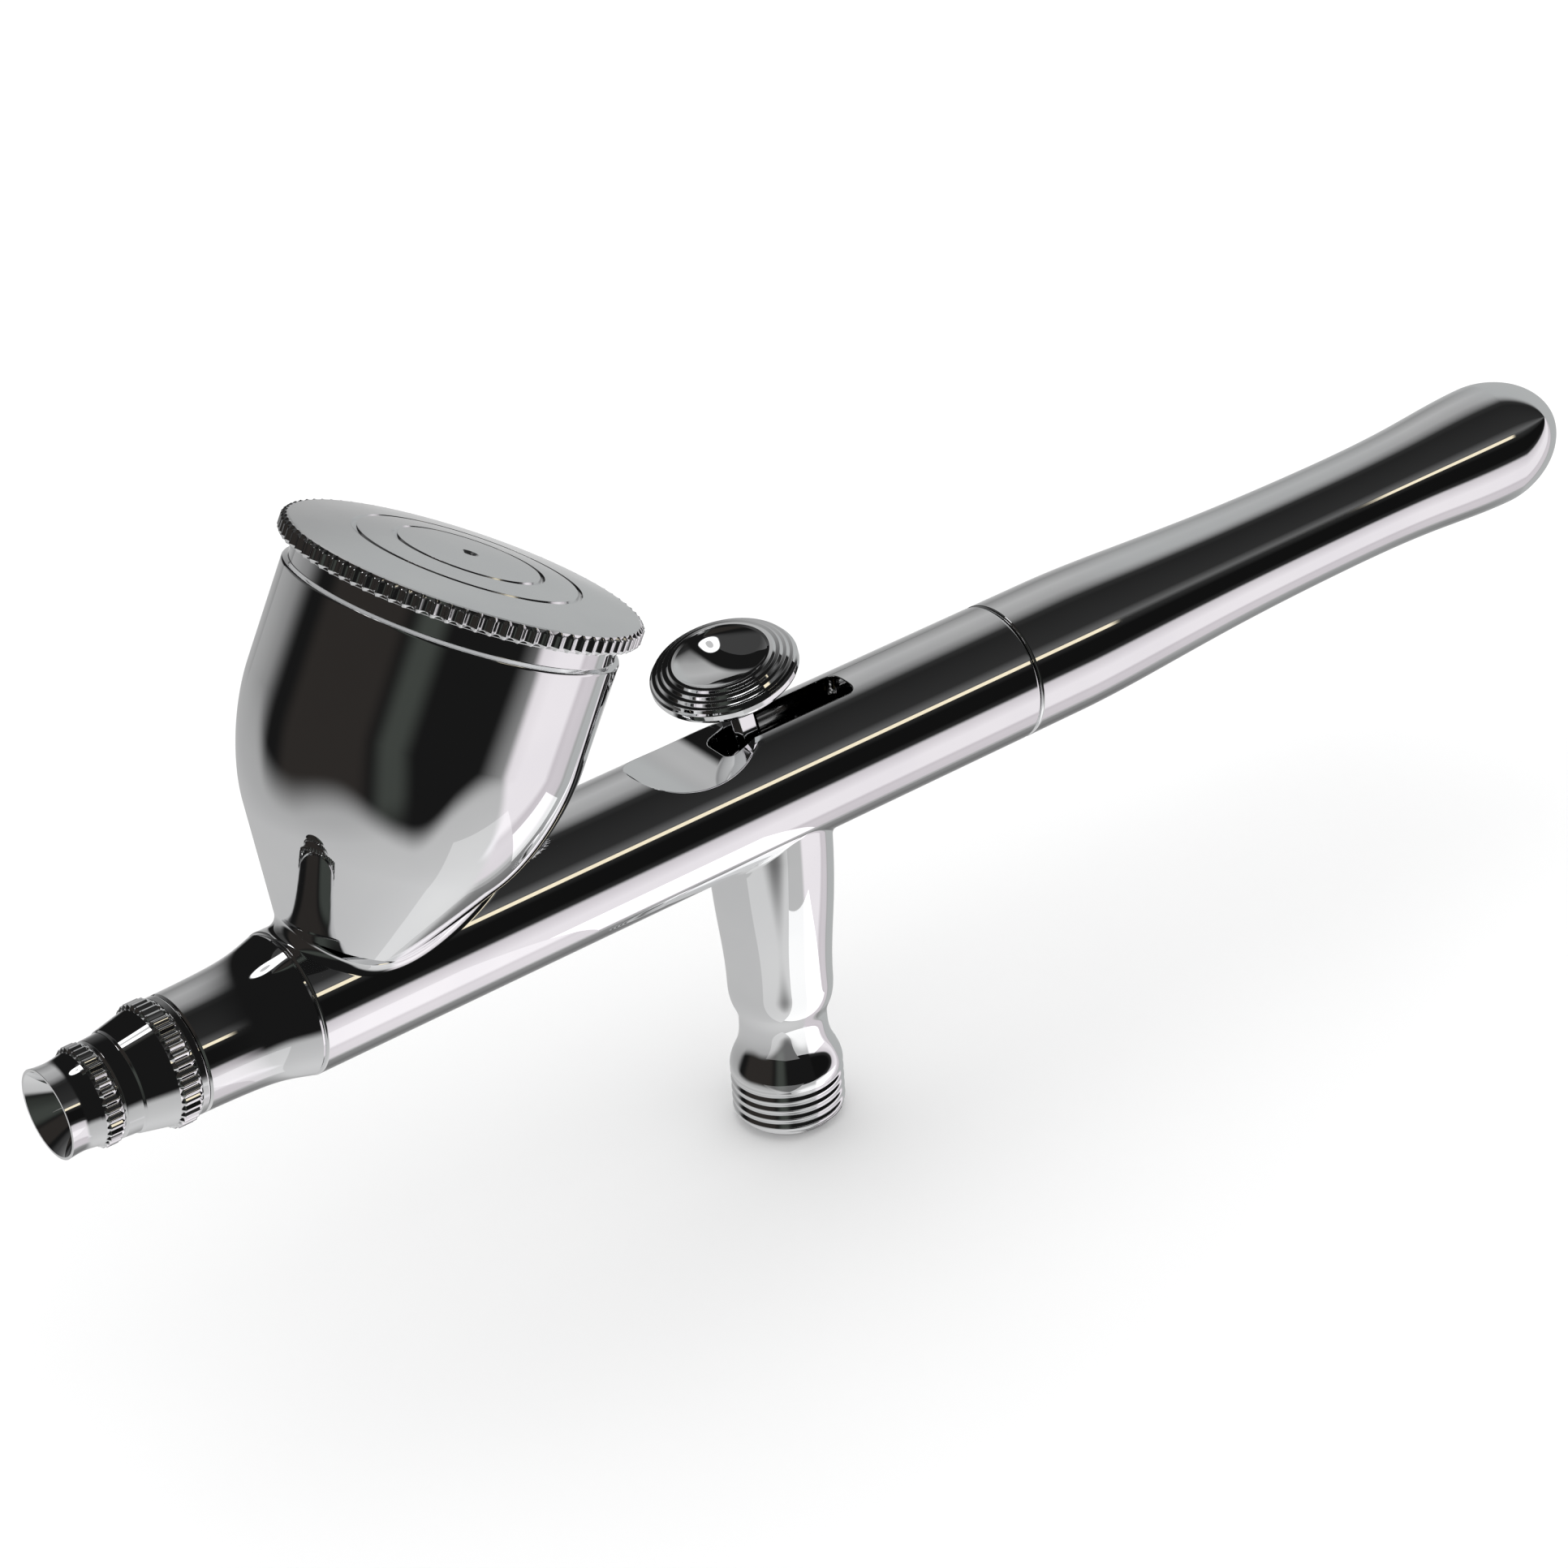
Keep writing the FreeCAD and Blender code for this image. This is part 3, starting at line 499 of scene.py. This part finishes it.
def body_cut():
    """The barrel with its finger relief, lever slot, rocker well, piston bore and long bores."""
    outer = turned(ALONG, profile(
        (BODY_FRONT, 0), (BODY_FRONT, BODY_R, 0.22), (BODY_REAR, BODY_R, 0.4), (BODY_REAR, 0)), 128)
    scoop_frame = turning_frame((SCOOP_X, -9, SCOOP_Z + SCOOP_R), (0, 1, 0), (0, 0, 1))
    scoop = turned(scoop_frame, profile((0, 0), (0, SCOOP_R), (18, SCOOP_R), (18, 0)), 256)
    bores = [turned(ALONG, profile((a, 0), (a, r), (b, r), (b, 0)), 48)
             for a, b, r in ((-48, -44.7, 4.45), (-44.8, -36, 1.9), (-36.1, -33.4, 2.05), (-33.5, -3.6, 2.25),
                             (7.2, 19.3, 4.4), (19.2, 26, 5.0))]
    piston = turned(UPRIGHT, profile((-7, 0), (-7, 2.45), (-1.9, 2.45), (-1.9, 0)), 48)
    well = prism([(2.0, -1.7), (7.7, -1.7), (7.7, 1.7), (2.0, 1.7)], -5.3, 0)
    return cut_mesh(outer, [scoop, prism(slot_outline(), -1.9, 8), well, piston, *bores])


def body_side(face):
    """Which of the body's surfaces a face is on."""
    c, n = face.calc_center_median(), face.normal
    r = math.hypot(c.y, c.z)
    if r > BODY_R - 0.2 and (n.y * c.y + n.z * c.z) / r > 0.3 and abs(n.x) < 0.95:
        return "outside"
    to_axis = Vector((SCOOP_X - c.x, 0, SCOOP_Z + SCOOP_R - c.z))
    if abs(to_axis.length - SCOOP_R) < 0.02 and n.dot(to_axis.normalized()) > 0.9:
        return "scoop"
    in_slot = SLOT_FRONT - 0.05 < c.x < SLOT_REAR + 0.05 and abs(c.y) < SLOT_HALF + 0.05 and c.z > -2
    return "slot" if in_slot and abs(n.z) < 0.3 else "inside"


def body():
    """The cut barrel with its outer edges rounded, and smooth normals where it is round."""
    b = bmesh.new()
    b.from_mesh(body_cut())
    bmesh.ops.remove_doubles(b, verts=b.verts, dist=1e-5)
    b.normal_update()
    sides = {f.index: body_side(f) for f in b.faces}
    rounded = ({"outside", "scoop"}, {"outside", "slot"}, {"scoop", "slot"})
    rims = [e for e in b.edges
            if len(e.link_faces) == 2 and {sides[f.index] for f in e.link_faces} in rounded]
    bmesh.ops.bevel(b, geom=rims, offset=0.09, segments=3, profile=0.5, affect="EDGES", clamp_overlap=False)
    b.normal_update()
    mesh = bpy.data.meshes.new("body_shape")
    b.to_mesh(mesh)
    b.free()

    verts = np.array([v.co for v in mesh.vertices])
    faces = [list(f.vertices) for f in mesh.polygons]
    face_normal = [np.array(f.normal) for f in mesh.polygons]
    area = [f.area for f in mesh.polygons]
    faces_at = {}
    for k, face in enumerate(faces):
        for i in face:
            faces_at.setdefault(i, []).append(k)

    same_surface, within = 0.985, 2e-3
    small_face, blend = 0.2, 0.6
    normals = []
    for k, face in enumerate(faces):
        flat = face_normal[k]
        for i in face:
            x, y, z = verts[i]
            r = math.hypot(y, z)
            radial = np.array([0, y, z]) / r if r > 1e-9 else flat
            to_axis = np.array([SCOOP_X - x, 0, SCOOP_Z + SCOOP_R - z])
            reach = np.linalg.norm(to_axis)
            if abs(r - BODY_R) < within and flat @ radial > same_surface:
                n = radial
            elif abs(reach - SCOOP_R) < within and flat @ to_axis / reach > same_surface:
                n = to_axis / reach
            elif area[k] < small_face and max(abs(flat)) < 0.9999:
                n = sum(face_normal[j] * area[j]**0.5 for j in faces_at[i] if face_normal[j] @ flat > blend)
                n = n / np.linalg.norm(n)
            else:
                n = flat
            normals.append(n)
    return verts, faces, np.array(normals)


# ---- paint cup ----
CUP_SLOPE = 0.628
CONE_TOP, CONE_TOP_R = 12.5, 10.65
CUP_WALL = [(CONE_TOP, CONE_TOP_R), (16, 12.27), (19.2, 13.12), (23, 13.5)]


def cone_r(h):
    """The radius of the cup's cone at a height along its axis."""
    return CONE_TOP_R - CUP_SLOPE * (CONE_TOP - h)


def rolled_fillet(centres, wall, radius, steps):
    """The strip that a ball leaves between a turned wall and the body, from its centres."""
    from_wall = -wall
    down = centres.copy()
    down[:, 0] = 0
    from_body = -down / np.linalg.norm(down, axis=1)[:, None]
    turn = np.arccos(np.clip((from_wall * from_body).sum(1), -1, 1))[:, None]
    arc = np.array([(np.sin((1 - k) * turn) * from_wall + np.sin(k * turn) * from_body) / np.sin(turn)
                    for k in np.linspace(0, 1, steps + 1)])
    rows, cols = arc.shape[:2]
    verts, outward = (centres + radius * arc).reshape(-1, 3), -arc.reshape(-1, 3)
    faces, normals = [], []
    for i in range(rows - 1):
        for j in range(cols):
            k = (j + 1) % cols
            face = [i * cols + j, i * cols + k, (i + 1) * cols + k, (i + 1) * cols + j]
            p = verts[face]
            if np.cross(p[1] - p[0], p[2] - p[0]) @ outward[face[0]] < 0:
                face = face[::-1]
            faces.append(face)
            normals.extend(outward[face])
    return verts, faces, np.array(normals)


def cup_fillet(radius=1.0, around=288, steps=12):
    """The fillet between the cup's cone and the body. The ball's height is found by halving.

    Known fault: its upper rim misses the wall by up to 0.64 mm. paint_cup() starts its wall above
    the fillet's top on both sides toward the nozzle, and at the rear the wall curves in from this
    straight cone, where the search also stops at its limit.
    """
    origin, axis = CUP[:2]
    ray = rays(CUP, np.arange(around) * TAU / around)
    wall = (ray - CUP_SLOPE * axis) / math.hypot(1, CUP_SLOPE)

    def centre(h):
        return origin + h[:, None] * axis + cone_r(h)[:, None] * ray + radius * wall

    low, high = np.full(around, 1.0), np.full(around, 16.0)
    for _ in range(60):
        middle = (low + high) / 2
        c = centre(middle)
        above = (np.hypot(c[:, 1], c[:, 2]) > BODY_R + radius) & (c[:, 2] > 0)
        high = np.where(above, middle, high)
        low = np.where(above, low, middle)
    return rolled_fillet(centre(high), wall, radius, steps)


def paint_cup():
    """The cup's wall with its push-on rim, and the fillet at its foot."""
    wall = spline(CUP_WALL, (1, CUP_SLOPE), (1, 0))
    inner = spline([(23, 12.35), (19.2, 11.97), (16.2, 11.15), (12.5, 9.5)], (-1, 0), (-1, -0.9))
    shell = profile(
        (4.6, cone_r(4.6)), wall, (31.62, 13.5, 0.28), (31.85, 13.05, 0.1), (33.4, 13.03, 0.16),
        (33.4, 12.35, 0.12), inner, (8.0, 1.9, 0.3), (4.6, 1.9), closed=True)
    return together(turned(CUP, shell, 256), cup_fillet())


def cup_lid():
    """The lid with its two ring grooves, its breather hole and its knurl."""
    groove = []
    for r, h in ((9.03, 35.62), (5.9, 35.92)):
        groove += [(h, r + 0.2, 0.03), (h - 0.25, r + 0.05, 0.03), (h - 0.25, r - 0.05, 0.03),
                   (h + 0.03, r - 0.2, 0.03)]
    shell = profile(
        (34.92, 0.5), (33.9, 11.2, 0.2), (30.5, 11.2, 0.1), (30.5, 12.2, 0.1), (33.45, 12.2),
        (33.45, 14.1, 0.1), (34.9, 14.1), spline([(34.98, 13.95), (35.3, 11.7), (35.6, 9.3)]),
        *groove[:4], spline([(35.67, 8.7), (35.82, 7.2), (35.91, 6.15)]), *groove[4:],
        spline([(35.96, 5.65), (36.05, 3.6), (36.1, 1.2)]), (36.1, 0.75, 0.06), (35.9, 0.5, 0.04),
        closed=True)
    return together(turned(CUP, shell, 256),
                    knurl(CUP, 14.52, 0.38, 80, 33.45, 34.93, 13.9, chamfer=0.3, scallop=True))


# ---- lever and button ----
def trigger_button():
    """The dished button, with steps round its edge."""
    shell = profile(
        (12.95, 0), (12.95, 1.75, 0.1), (13.35, 2.1, 0.3),
        spline([(13.42, 2.4), (13.95, 4.5), (15.17, 6.05)]),
        (15.4, 6.17, 0.12), (15.87, 6.17, 0.12), (16.0, 6.0, 0.06), (16.28, 5.88, 0.08), (16.30, 5.55, 0.06),
        (16.56, 5.38, 0.08), (16.58, 5.05, 0.06), (16.84, 4.9, 0.08), (16.86, 4.52, 0.06), (17.06, 4.36, 0.1),
        (17.1, 4.05, 0.12),
        spline([(17.02, 3.85), (16.62, 2.9), (16.24, 1.5), (16.1, 0)], (-0.6, -1), (0, -1)))
    return turned(LEVER, shell, 192)


def main_lever():
    """The octagonal stem with rounded arrises, its pivot foot and its neck."""
    origin, axis, side, other = LEVER
    half_t, half_w, chamfer, stem_top = 1.2, 1.3, 0.5, 12.9
    corners = [(half_t, chamfer - half_w), (half_t, half_w - chamfer), (half_t - chamfer, half_w),
               (chamfer - half_t, half_w), (-half_t, half_w - chamfer), (-half_t, chamfer - half_w),
               (chamfer - half_t, -half_w), (half_t - chamfer, -half_w)]
    pieces, _ = profile(*[(*c, 0.12) for c in corners], closed=True)
    ring = []
    for q, n in pieces:
        for k in range(len(q) - 1):
            ring.append((q[k], q[k + 1], n[k], n[k + 1]))
    verts, faces, normals = [], [], []
    for q0, q1, n0, n1 in ring:
        base = len(verts)
        quad = []
        for s, q, n in ((0.0, q0, n0), (0.0, q1, n1), (stem_top, q1, n1), (stem_top, q0, n0)):
            verts.append(origin + s * axis + q[0] * side + q[1] * other)
            quad.append(n[0] * side + n[1] * other)
        faces.append([base, base + 1, base + 2, base + 3])
        normals += quad
    for s, sign in ((0.0, -1), (stem_top, 1)):
        base = len(verts)
        verts += [origin + s * axis + q0[0] * side + q0[1] * other for q0, *_ in ring]
        loop = list(range(base, base + len(ring)))
        faces.append(loop if sign > 0 else loop[::-1])
        normals += [sign * axis] * len(ring)
    foot_frame = turning_frame((0, -half_w, LEVER_PIVOT_Z), (0, 1, 0), (0, 0, 1))
    foot = turned(foot_frame, profile((0, 0), (0, 1.5, 0.1), (2 * half_w, 1.5, 0.1),
                                      (2 * half_w, 0)), 64)
    pin = turned(LEVER, profile((stem_top, 0), (stem_top, 0.9), (14.9, 0.9, 0.1), (14.9, 0)), 48)
    return together((np.array(verts), faces, np.array(normals)), foot, pin)


# ---- handle ----
def handle():
    """The waisted handle. Known fault: the profile is open, so the bore has no wall from 48 to 19.3."""
    return turned(ALONG, profile(
        (19.3, 4.2), (19.3, 4.95), (25.03, 4.95), (25.03, 6.03, 0.42),
        spline([(25.5, 6.03), (31, 6.03)], (1, 0), (1, 0)),
        spline([(31, 6.03), (41, 5.66), (50, 5.2), (62, 4.93), (74, 5.14), (83.2, 5.63)],
               (1, 0), (1, 0), 0.5),
        spline([(83.2, 5.63), (86.1, 5.13), (89.1, 3.5), (91.1, 0)], (1, 0), (0, -1)),
        (68, 0), (66, 3.6, 0.5), (56, 3.6, 1), (48, 4.2, 1), closed=False), 192)


# ---- air valve ----
def inlet_thread():
    """The ridges of the G1/8 inlet, fading in and out at the ends."""
    top, end, last_ridge = -28.2, -32.75, -32.3

    def surface(u, v):
        z = top + (end - top) * v
        phase = (z / THREAD_PITCH - u) % 1.0
        ridge = (0.5 + 0.5 * np.cos(TAU * phase)) ** 0.8
        fade = np.clip((top - z) / 0.5, 0, 1) * np.clip((z - end) / 0.35, 0, 1)
        r = THREAD_R - (THREAD_R - THREAD_ROOT_R) * (1 - ridge) * fade
        r = np.minimum(r, THREAD_R - np.clip(last_ridge - z, 0, 1) * 0.8)
        a = TAU * u
        return np.stack([r * np.cos(a), r * np.sin(a), z], -1)

    return sheet(surface, np.arange(160) / 160, np.linspace(0, 1, 120), wrap_u=True, flip=True)


def valve_fillet(radius=0.6, around=192, steps=8):
    """The fillet between the air valve and the body."""
    a = np.arange(around) * TAU / around
    wall = rays(UPRIGHT, a)
    reach = VALVE_R + radius
    centres = reach * wall
    centres[:, 2] = -np.sqrt((BODY_R + radius)**2 - (reach * np.sin(a))**2)
    return rolled_fillet(centres, wall, radius, steps)


def valve_casing():
    """The tapered valve, its waist and inlet, with the thread and the fillet."""
    upper = spline([(-2.0, VALVE_R), (-5.0, VALVE_R)])
    middle = spline([(-5, VALVE_R), (-12.2, 5.0), (-19, 4.52), (-21.4, 4.3)], (-1, 0), (-1, -0.3))
    waist = spline([(-21.4, 4.3), (-22.75, 3.85), (-23.8, 3.79), (-25.75, 4.05), (-27.1, 4.6),
                    (-28.2, THREAD_R)], (-1, -0.35), (-1, 0))
    shell = profile(
        (-2.0, 2.45), upper, middle, waist, (-28.25, 4.3), (-32.5, 4.3), (-32.5, THREAD_ROOT_R),
        (INLET_END, 4.3, 0.12), (INLET_END, 3.0, 0.1), (-16, 3.0), (-16, 2.6), (-12, 2.6), (-12, 1.21),
        (-10.5, 1.21), (-10.5, 2.45), closed=True)
    return together(turned(UPRIGHT, shell, 192), inlet_thread(), valve_fillet())


# ---- springs ----
def spring_wire(frame_, mean_r, wire_r, s0, s1, turns):
    """A coil of round wire that stays between s0 and s1 along the frame's axis, with flat cut ends."""
    origin, axis = frame_[:2]
    rise, around = s1 - s0 - 2 * wire_r, 12

    def surface(u, v):
        a, b = TAU * turns * u, TAU * v[..., None]
        ray = rays(frame_, a)
        forward = np.cos(a)[..., None] * frame_[3] - np.sin(a)[..., None] * frame_[2]
        along = rise * axis + TAU * turns * mean_r * forward
        along /= np.linalg.norm(along, axis=-1)[..., None]
        centre = origin + (s0 + wire_r + rise * u)[..., None] * axis + mean_r * ray
        return centre + wire_r * (np.cos(b) * ray + np.sin(b) * np.cross(ray, along))

    verts, faces, normals = sheet(surface, np.linspace(0, 1, 32 * turns + 1), np.arange(around) / around,
                                  wrap_v=True)
    last = len(verts) - around
    for loop in (list(range(around)), list(range(last, len(verts)))[::-1]):
        corner = verts[loop]
        out = np.cross(corner[1] - corner[0], corner[2] - corner[0])
        faces.append(loop)
        normals = np.vstack([normals, np.tile(out / np.linalg.norm(out), (around, 1))])
    return verts, faces, normals


# name, what makes it, the body it rides on, the node it stands for, finish
PIECES = [
    ("needle_cap_shell", needle_cap, "gun", "needle_cap", "chrome"),
    ("nozzle_cap_shell", nozzle_cap, "gun", "nozzle_cap", "chrome"),
    ("head_base_shell", head_base, "gun", "head_base", "chrome"),
    ("body_shell", body, "gun", "body", "chrome"),
    ("paint_cup_shell", paint_cup, "gun", "paint_cup", "chrome"),
    ("cup_lid_shell", cup_lid, "lid", "cup_lid", "satin_chrome"),
    ("trigger_button_shell", trigger_button, "lever", "trigger_button", "chrome"),
    ("main_lever_stem", main_lever, "lever", "main_lever", "chrome"),
    ("handle_shell", handle, "gun", "handle", "chrome"),
    ("valve_casing_shell", valve_casing, "gun", "valve_casing", "chrome"),
    ("needle_rod", needle, "needle_set", "needle", "steel"),
]
for made_name, maker, rides_on, stands_for, slot_name in PIECES:
    piece(made_name, maker(), rides_on, stands_for, slot_name, FINISHES[slot_name])

# name, node, frame, coil and wire radius, the two ends, turns, joint, the place that stays, joint's travel
SPRINGS = [
    ("valve_spring_wire", "valve_spring", UPRIGHT, 1.75, 0.25, -25.17, -18.23, 5, "air_press", -25.2, 1.3),
    ("needle_spring_wire", "needle_spring", ALONG, 2.5, 0.28, 12.23, 24.97, 8, "needle_draw", 25.0, 2.21),
]
for made_name, stands_for, line, mean_r, wire_r, s0, s1, turns, joint, fixed, travel in SPRINGS:
    spring = piece(made_name, spring_wire(line, mean_r, wire_r, s0, s1, turns), "gun", stands_for,
                   "spring_steel", FINISHES["spring_steel"])
    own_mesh(spring)

replaced = {row[3] for row in PIECES} | {row[1] for row in SPRINGS}
finish_of = {part["node"]: part["material_slot"] for part in frame["record"]["subparts"]}
for node_name, node in frame["nodes"].items():
    if node_name not in replaced:
        node.data.materials.clear()
        node.data.materials.append(FINISHES[finish_of[node_name]])


# ---- studio ----
def gun_bands(n, turn, x):
    """What the long turned parts mirror: bands along the gun, by the turn round its length."""
    bands = n.by_angle(turn, -180, 180, (
        (-180, 0.27), (-162, 0.17), (-146, 0.26), (-134, 0.62), (-124, 0.85), (-108, 0.48), (-84, 0.27),
        (-54, 0.46), (-30, 0.37), (-18, 0.20), (-9, 0.03), (0, 0.018), (44, 0.028), (56, 0.13), (62, 0.03),
        (72, 0.006), (94, 0.006), (102, 0.03), (106, 0.42), (112, 0.55), (126, 0.86), (148, 0.86),
        (153, 0.36), (160, 0.44), (170, 0.40)))
    lilac = n.mix(0.5, bands, (0.86, 0.78, 0.84, 1))
    bands = n.mix(n.window(turn, 108, 172, 6), bands, lilac)
    far_end = n.maths("MULTIPLY", n.span(x, 0.56, 0.68), n.span(turn, -10, -35))
    return n.mix(far_end, bands, (0.44, 0.45, 0.45, 1))


def cup_side(n, compass, height):
    """What the cup and the nose mirror: a pale table below the edge of a dark room."""
    edge = n.by_angle(compass, -180, 180, (
        (-180, 0.46), (-152, 0.46), (-140, 0.41), (-115, 0.405), (-98, 0.43), (-78, 0.44), (-60, 0.385),
        (-40, 0.30), (-26, 0.28), (-12, 0.34), (8, 0.385), (24, 0.36), (60, 0.34), (180, 0.46)), "B_SPLINE")
    above = n.maths("SUBTRACT", height, n.maths("MULTIPLY_ADD", edge, 180.0, -90.0))
    strip = n.maths("MULTIPLY", n.window(compass, -51, -47, 13), n.span(height, -36, -14))
    room = n.mix(n.window(compass, -118, -72, 14), (0.009, 0.009, 0.009, 1), (0.026, 0.023, 0.021, 1))
    room = n.mix(strip, room, (0.050, 0.056, 0.050, 1))
    side_wall = n.by_angle(height, -40, 30, ((-40, 0.52), (-20, 0.40), (-6, 0.30), (8, 0.14), (30, 0.05)))
    room = n.mix(n.span(compass, -136, -156), room, side_wall)
    table = n.by_angle(height, -90, 0, ((-90, 0.66), (-60, 0.56), (-34, 0.50), (-24, 0.42), (0, 0.30)))
    white = n.maths("MULTIPLY", n.window(compass, 38, 66, 9), n.window(height, -56, -34, 8))
    table = n.mix(white, table, (0.98, 0.97, 1.0, 1))
    return n.mix(n.span(above, -9, 7), table, room)


def studio_world(fill=1.08, backdrop=0.99):
    """Soft studio light, placed by direction, with a plain fill for matt surfaces and a plain backdrop.

    Bands are placed by the turn round the gun's length (0 straight up, 90 the near side, 180
    straight down), and the rest by compass direction (0 the near side, 90 the handle's end) and
    height, all in degrees.
    """
    world = bpy.data.worlds.new("studio")
    bpy.context.scene.world = world
    world.use_nodes = True
    n = Nodes(world.node_tree)
    parts = n.add("ShaderNodeSeparateXYZ")
    n.put(n.add("ShaderNodeTexCoord").outputs["Generated"], parts.inputs[0])
    x, y, z = parts.outputs
    near = n.maths("MULTIPLY", y, -1.0)
    turn = n.degrees(n.maths("ARCTAN2", near, z))
    height = n.degrees(n.maths("ARCSINE", z))
    compass = n.degrees(n.maths("ARCTAN2", x, near))

    seen = n.mix(n.span(x, 0.27, 0.37), cup_side(n, compass, height), gun_bands(n, turn, x))
    to_lamp = n.maths("MULTIPLY_ADD", y, 0.25, n.maths("MULTIPLY", z, 0.967))
    to_lamp = n.maths("MULTIPLY_ADD", x, 0.05, to_lamp)
    ring_lamp = n.maths("MULTIPLY", n.span(to_lamp, 0.988, 0.994), n.span(to_lamp, 0.9993, 0.9975, 0.25, 1.0))
    seen = n.mix(ring_lamp, seen, (2.2, 2.2, 2.2, 1))
    tube = n.maths("MULTIPLY", n.window(turn, 58.9, 63.2, 0.8), n.window(x, 0.33, 0.60, 0.02))
    seen = n.mix(tube, seen, (1.0, 0.89, 0.66, 1))

    path = n.add("ShaderNodeLightPath")
    colour = n.mix(path.outputs["Is Diffuse Ray"], seen, (fill, fill, fill, 1))
    colour = n.mix(path.outputs["Is Camera Ray"], colour, (backdrop, backdrop, backdrop, 1))
    background = n.add("ShaderNodeBackground")
    n.put(colour, background.inputs["Color"])
    out = n.add("ShaderNodeOutputWorld")
    n.tree.links.new(background.outputs[0], out.inputs[0])


def floor():
    """A pale, very slightly mottled floor under the inlet's end. The chrome doesn't mirror it."""
    mesh = bpy.data.meshes.new("floor")
    size, z = 3.0, (INLET_END + LIFT - FLOOR_GAP) / 1000
    mesh.from_pydata([(-size, -size, z), (size, -size, z), (size, size, z), (-size, size, z)], [],
                     [[0, 1, 2, 3]])
    mesh.materials.append(surface_material("floor_paint", 0.0, ((0.93, 0.93, 0.93), (0.91, 0.91, 0.91)),
                                           (0.8, 0.9), 60))
    made = placed("floor", mesh)
    made.visible_glossy = False


def area_light(name, place, aim, power):
    """An area light turned toward its aim, and its settings."""
    lamp = bpy.data.lights.new(name, "AREA")
    lamp.energy = power
    made = placed(name, lamp)
    made.location = place
    made.rotation_euler = (Vector(aim) - Vector(place)).to_track_quat("-Z", "Y").to_euler()
    return made, lamp


def soft_light(name, place, aim, size, power):
    """A round light that the chrome doesn't mirror."""
    made, lamp = area_light(name, place, aim, power)
    lamp.shape, lamp.size = "DISK", size
    made.visible_glossy = False


def white_card(name, place, aim, width, height, level):
    """A lit white card that only the chrome sees."""
    made, lamp = area_light(name, place, aim, level * math.pi * width * height)
    lamp.shape, lamp.size, lamp.size_y = "RECTANGLE", width, height
    made.visible_camera = made.visible_diffuse = False


studio_world()
floor()
soft_light("overhead", (0.1, 0.1, 1.2), (0, 0, 0), 1.6, 3.0)
white_card("card_at_foot", (0.006, -0.0205, -0.002), (0.006, -0.0205, 0.03), 0.024, 0.023, 0.5)
white_card("grey_card", (-0.024, -0.032, -0.0021), (-0.024, -0.032, 0.03), 0.036, 0.050, 0.13)

camera = bpy.data.cameras.new("camera")
camera.lens, camera.sensor_width = 104.83, 36.0
camera.clip_start, camera.clip_end = 0.02, 20
viewer = placed("camera", camera)
viewer.location = (-0.18519, -0.26025, 0.22892)
viewer.rotation_euler = Euler([math.radians(d) for d in (57.9914, 3.6078, -37.9667)])
bpy.context.scene.camera = viewer
bpy.context.scene.view_settings.view_transform = "Standard"
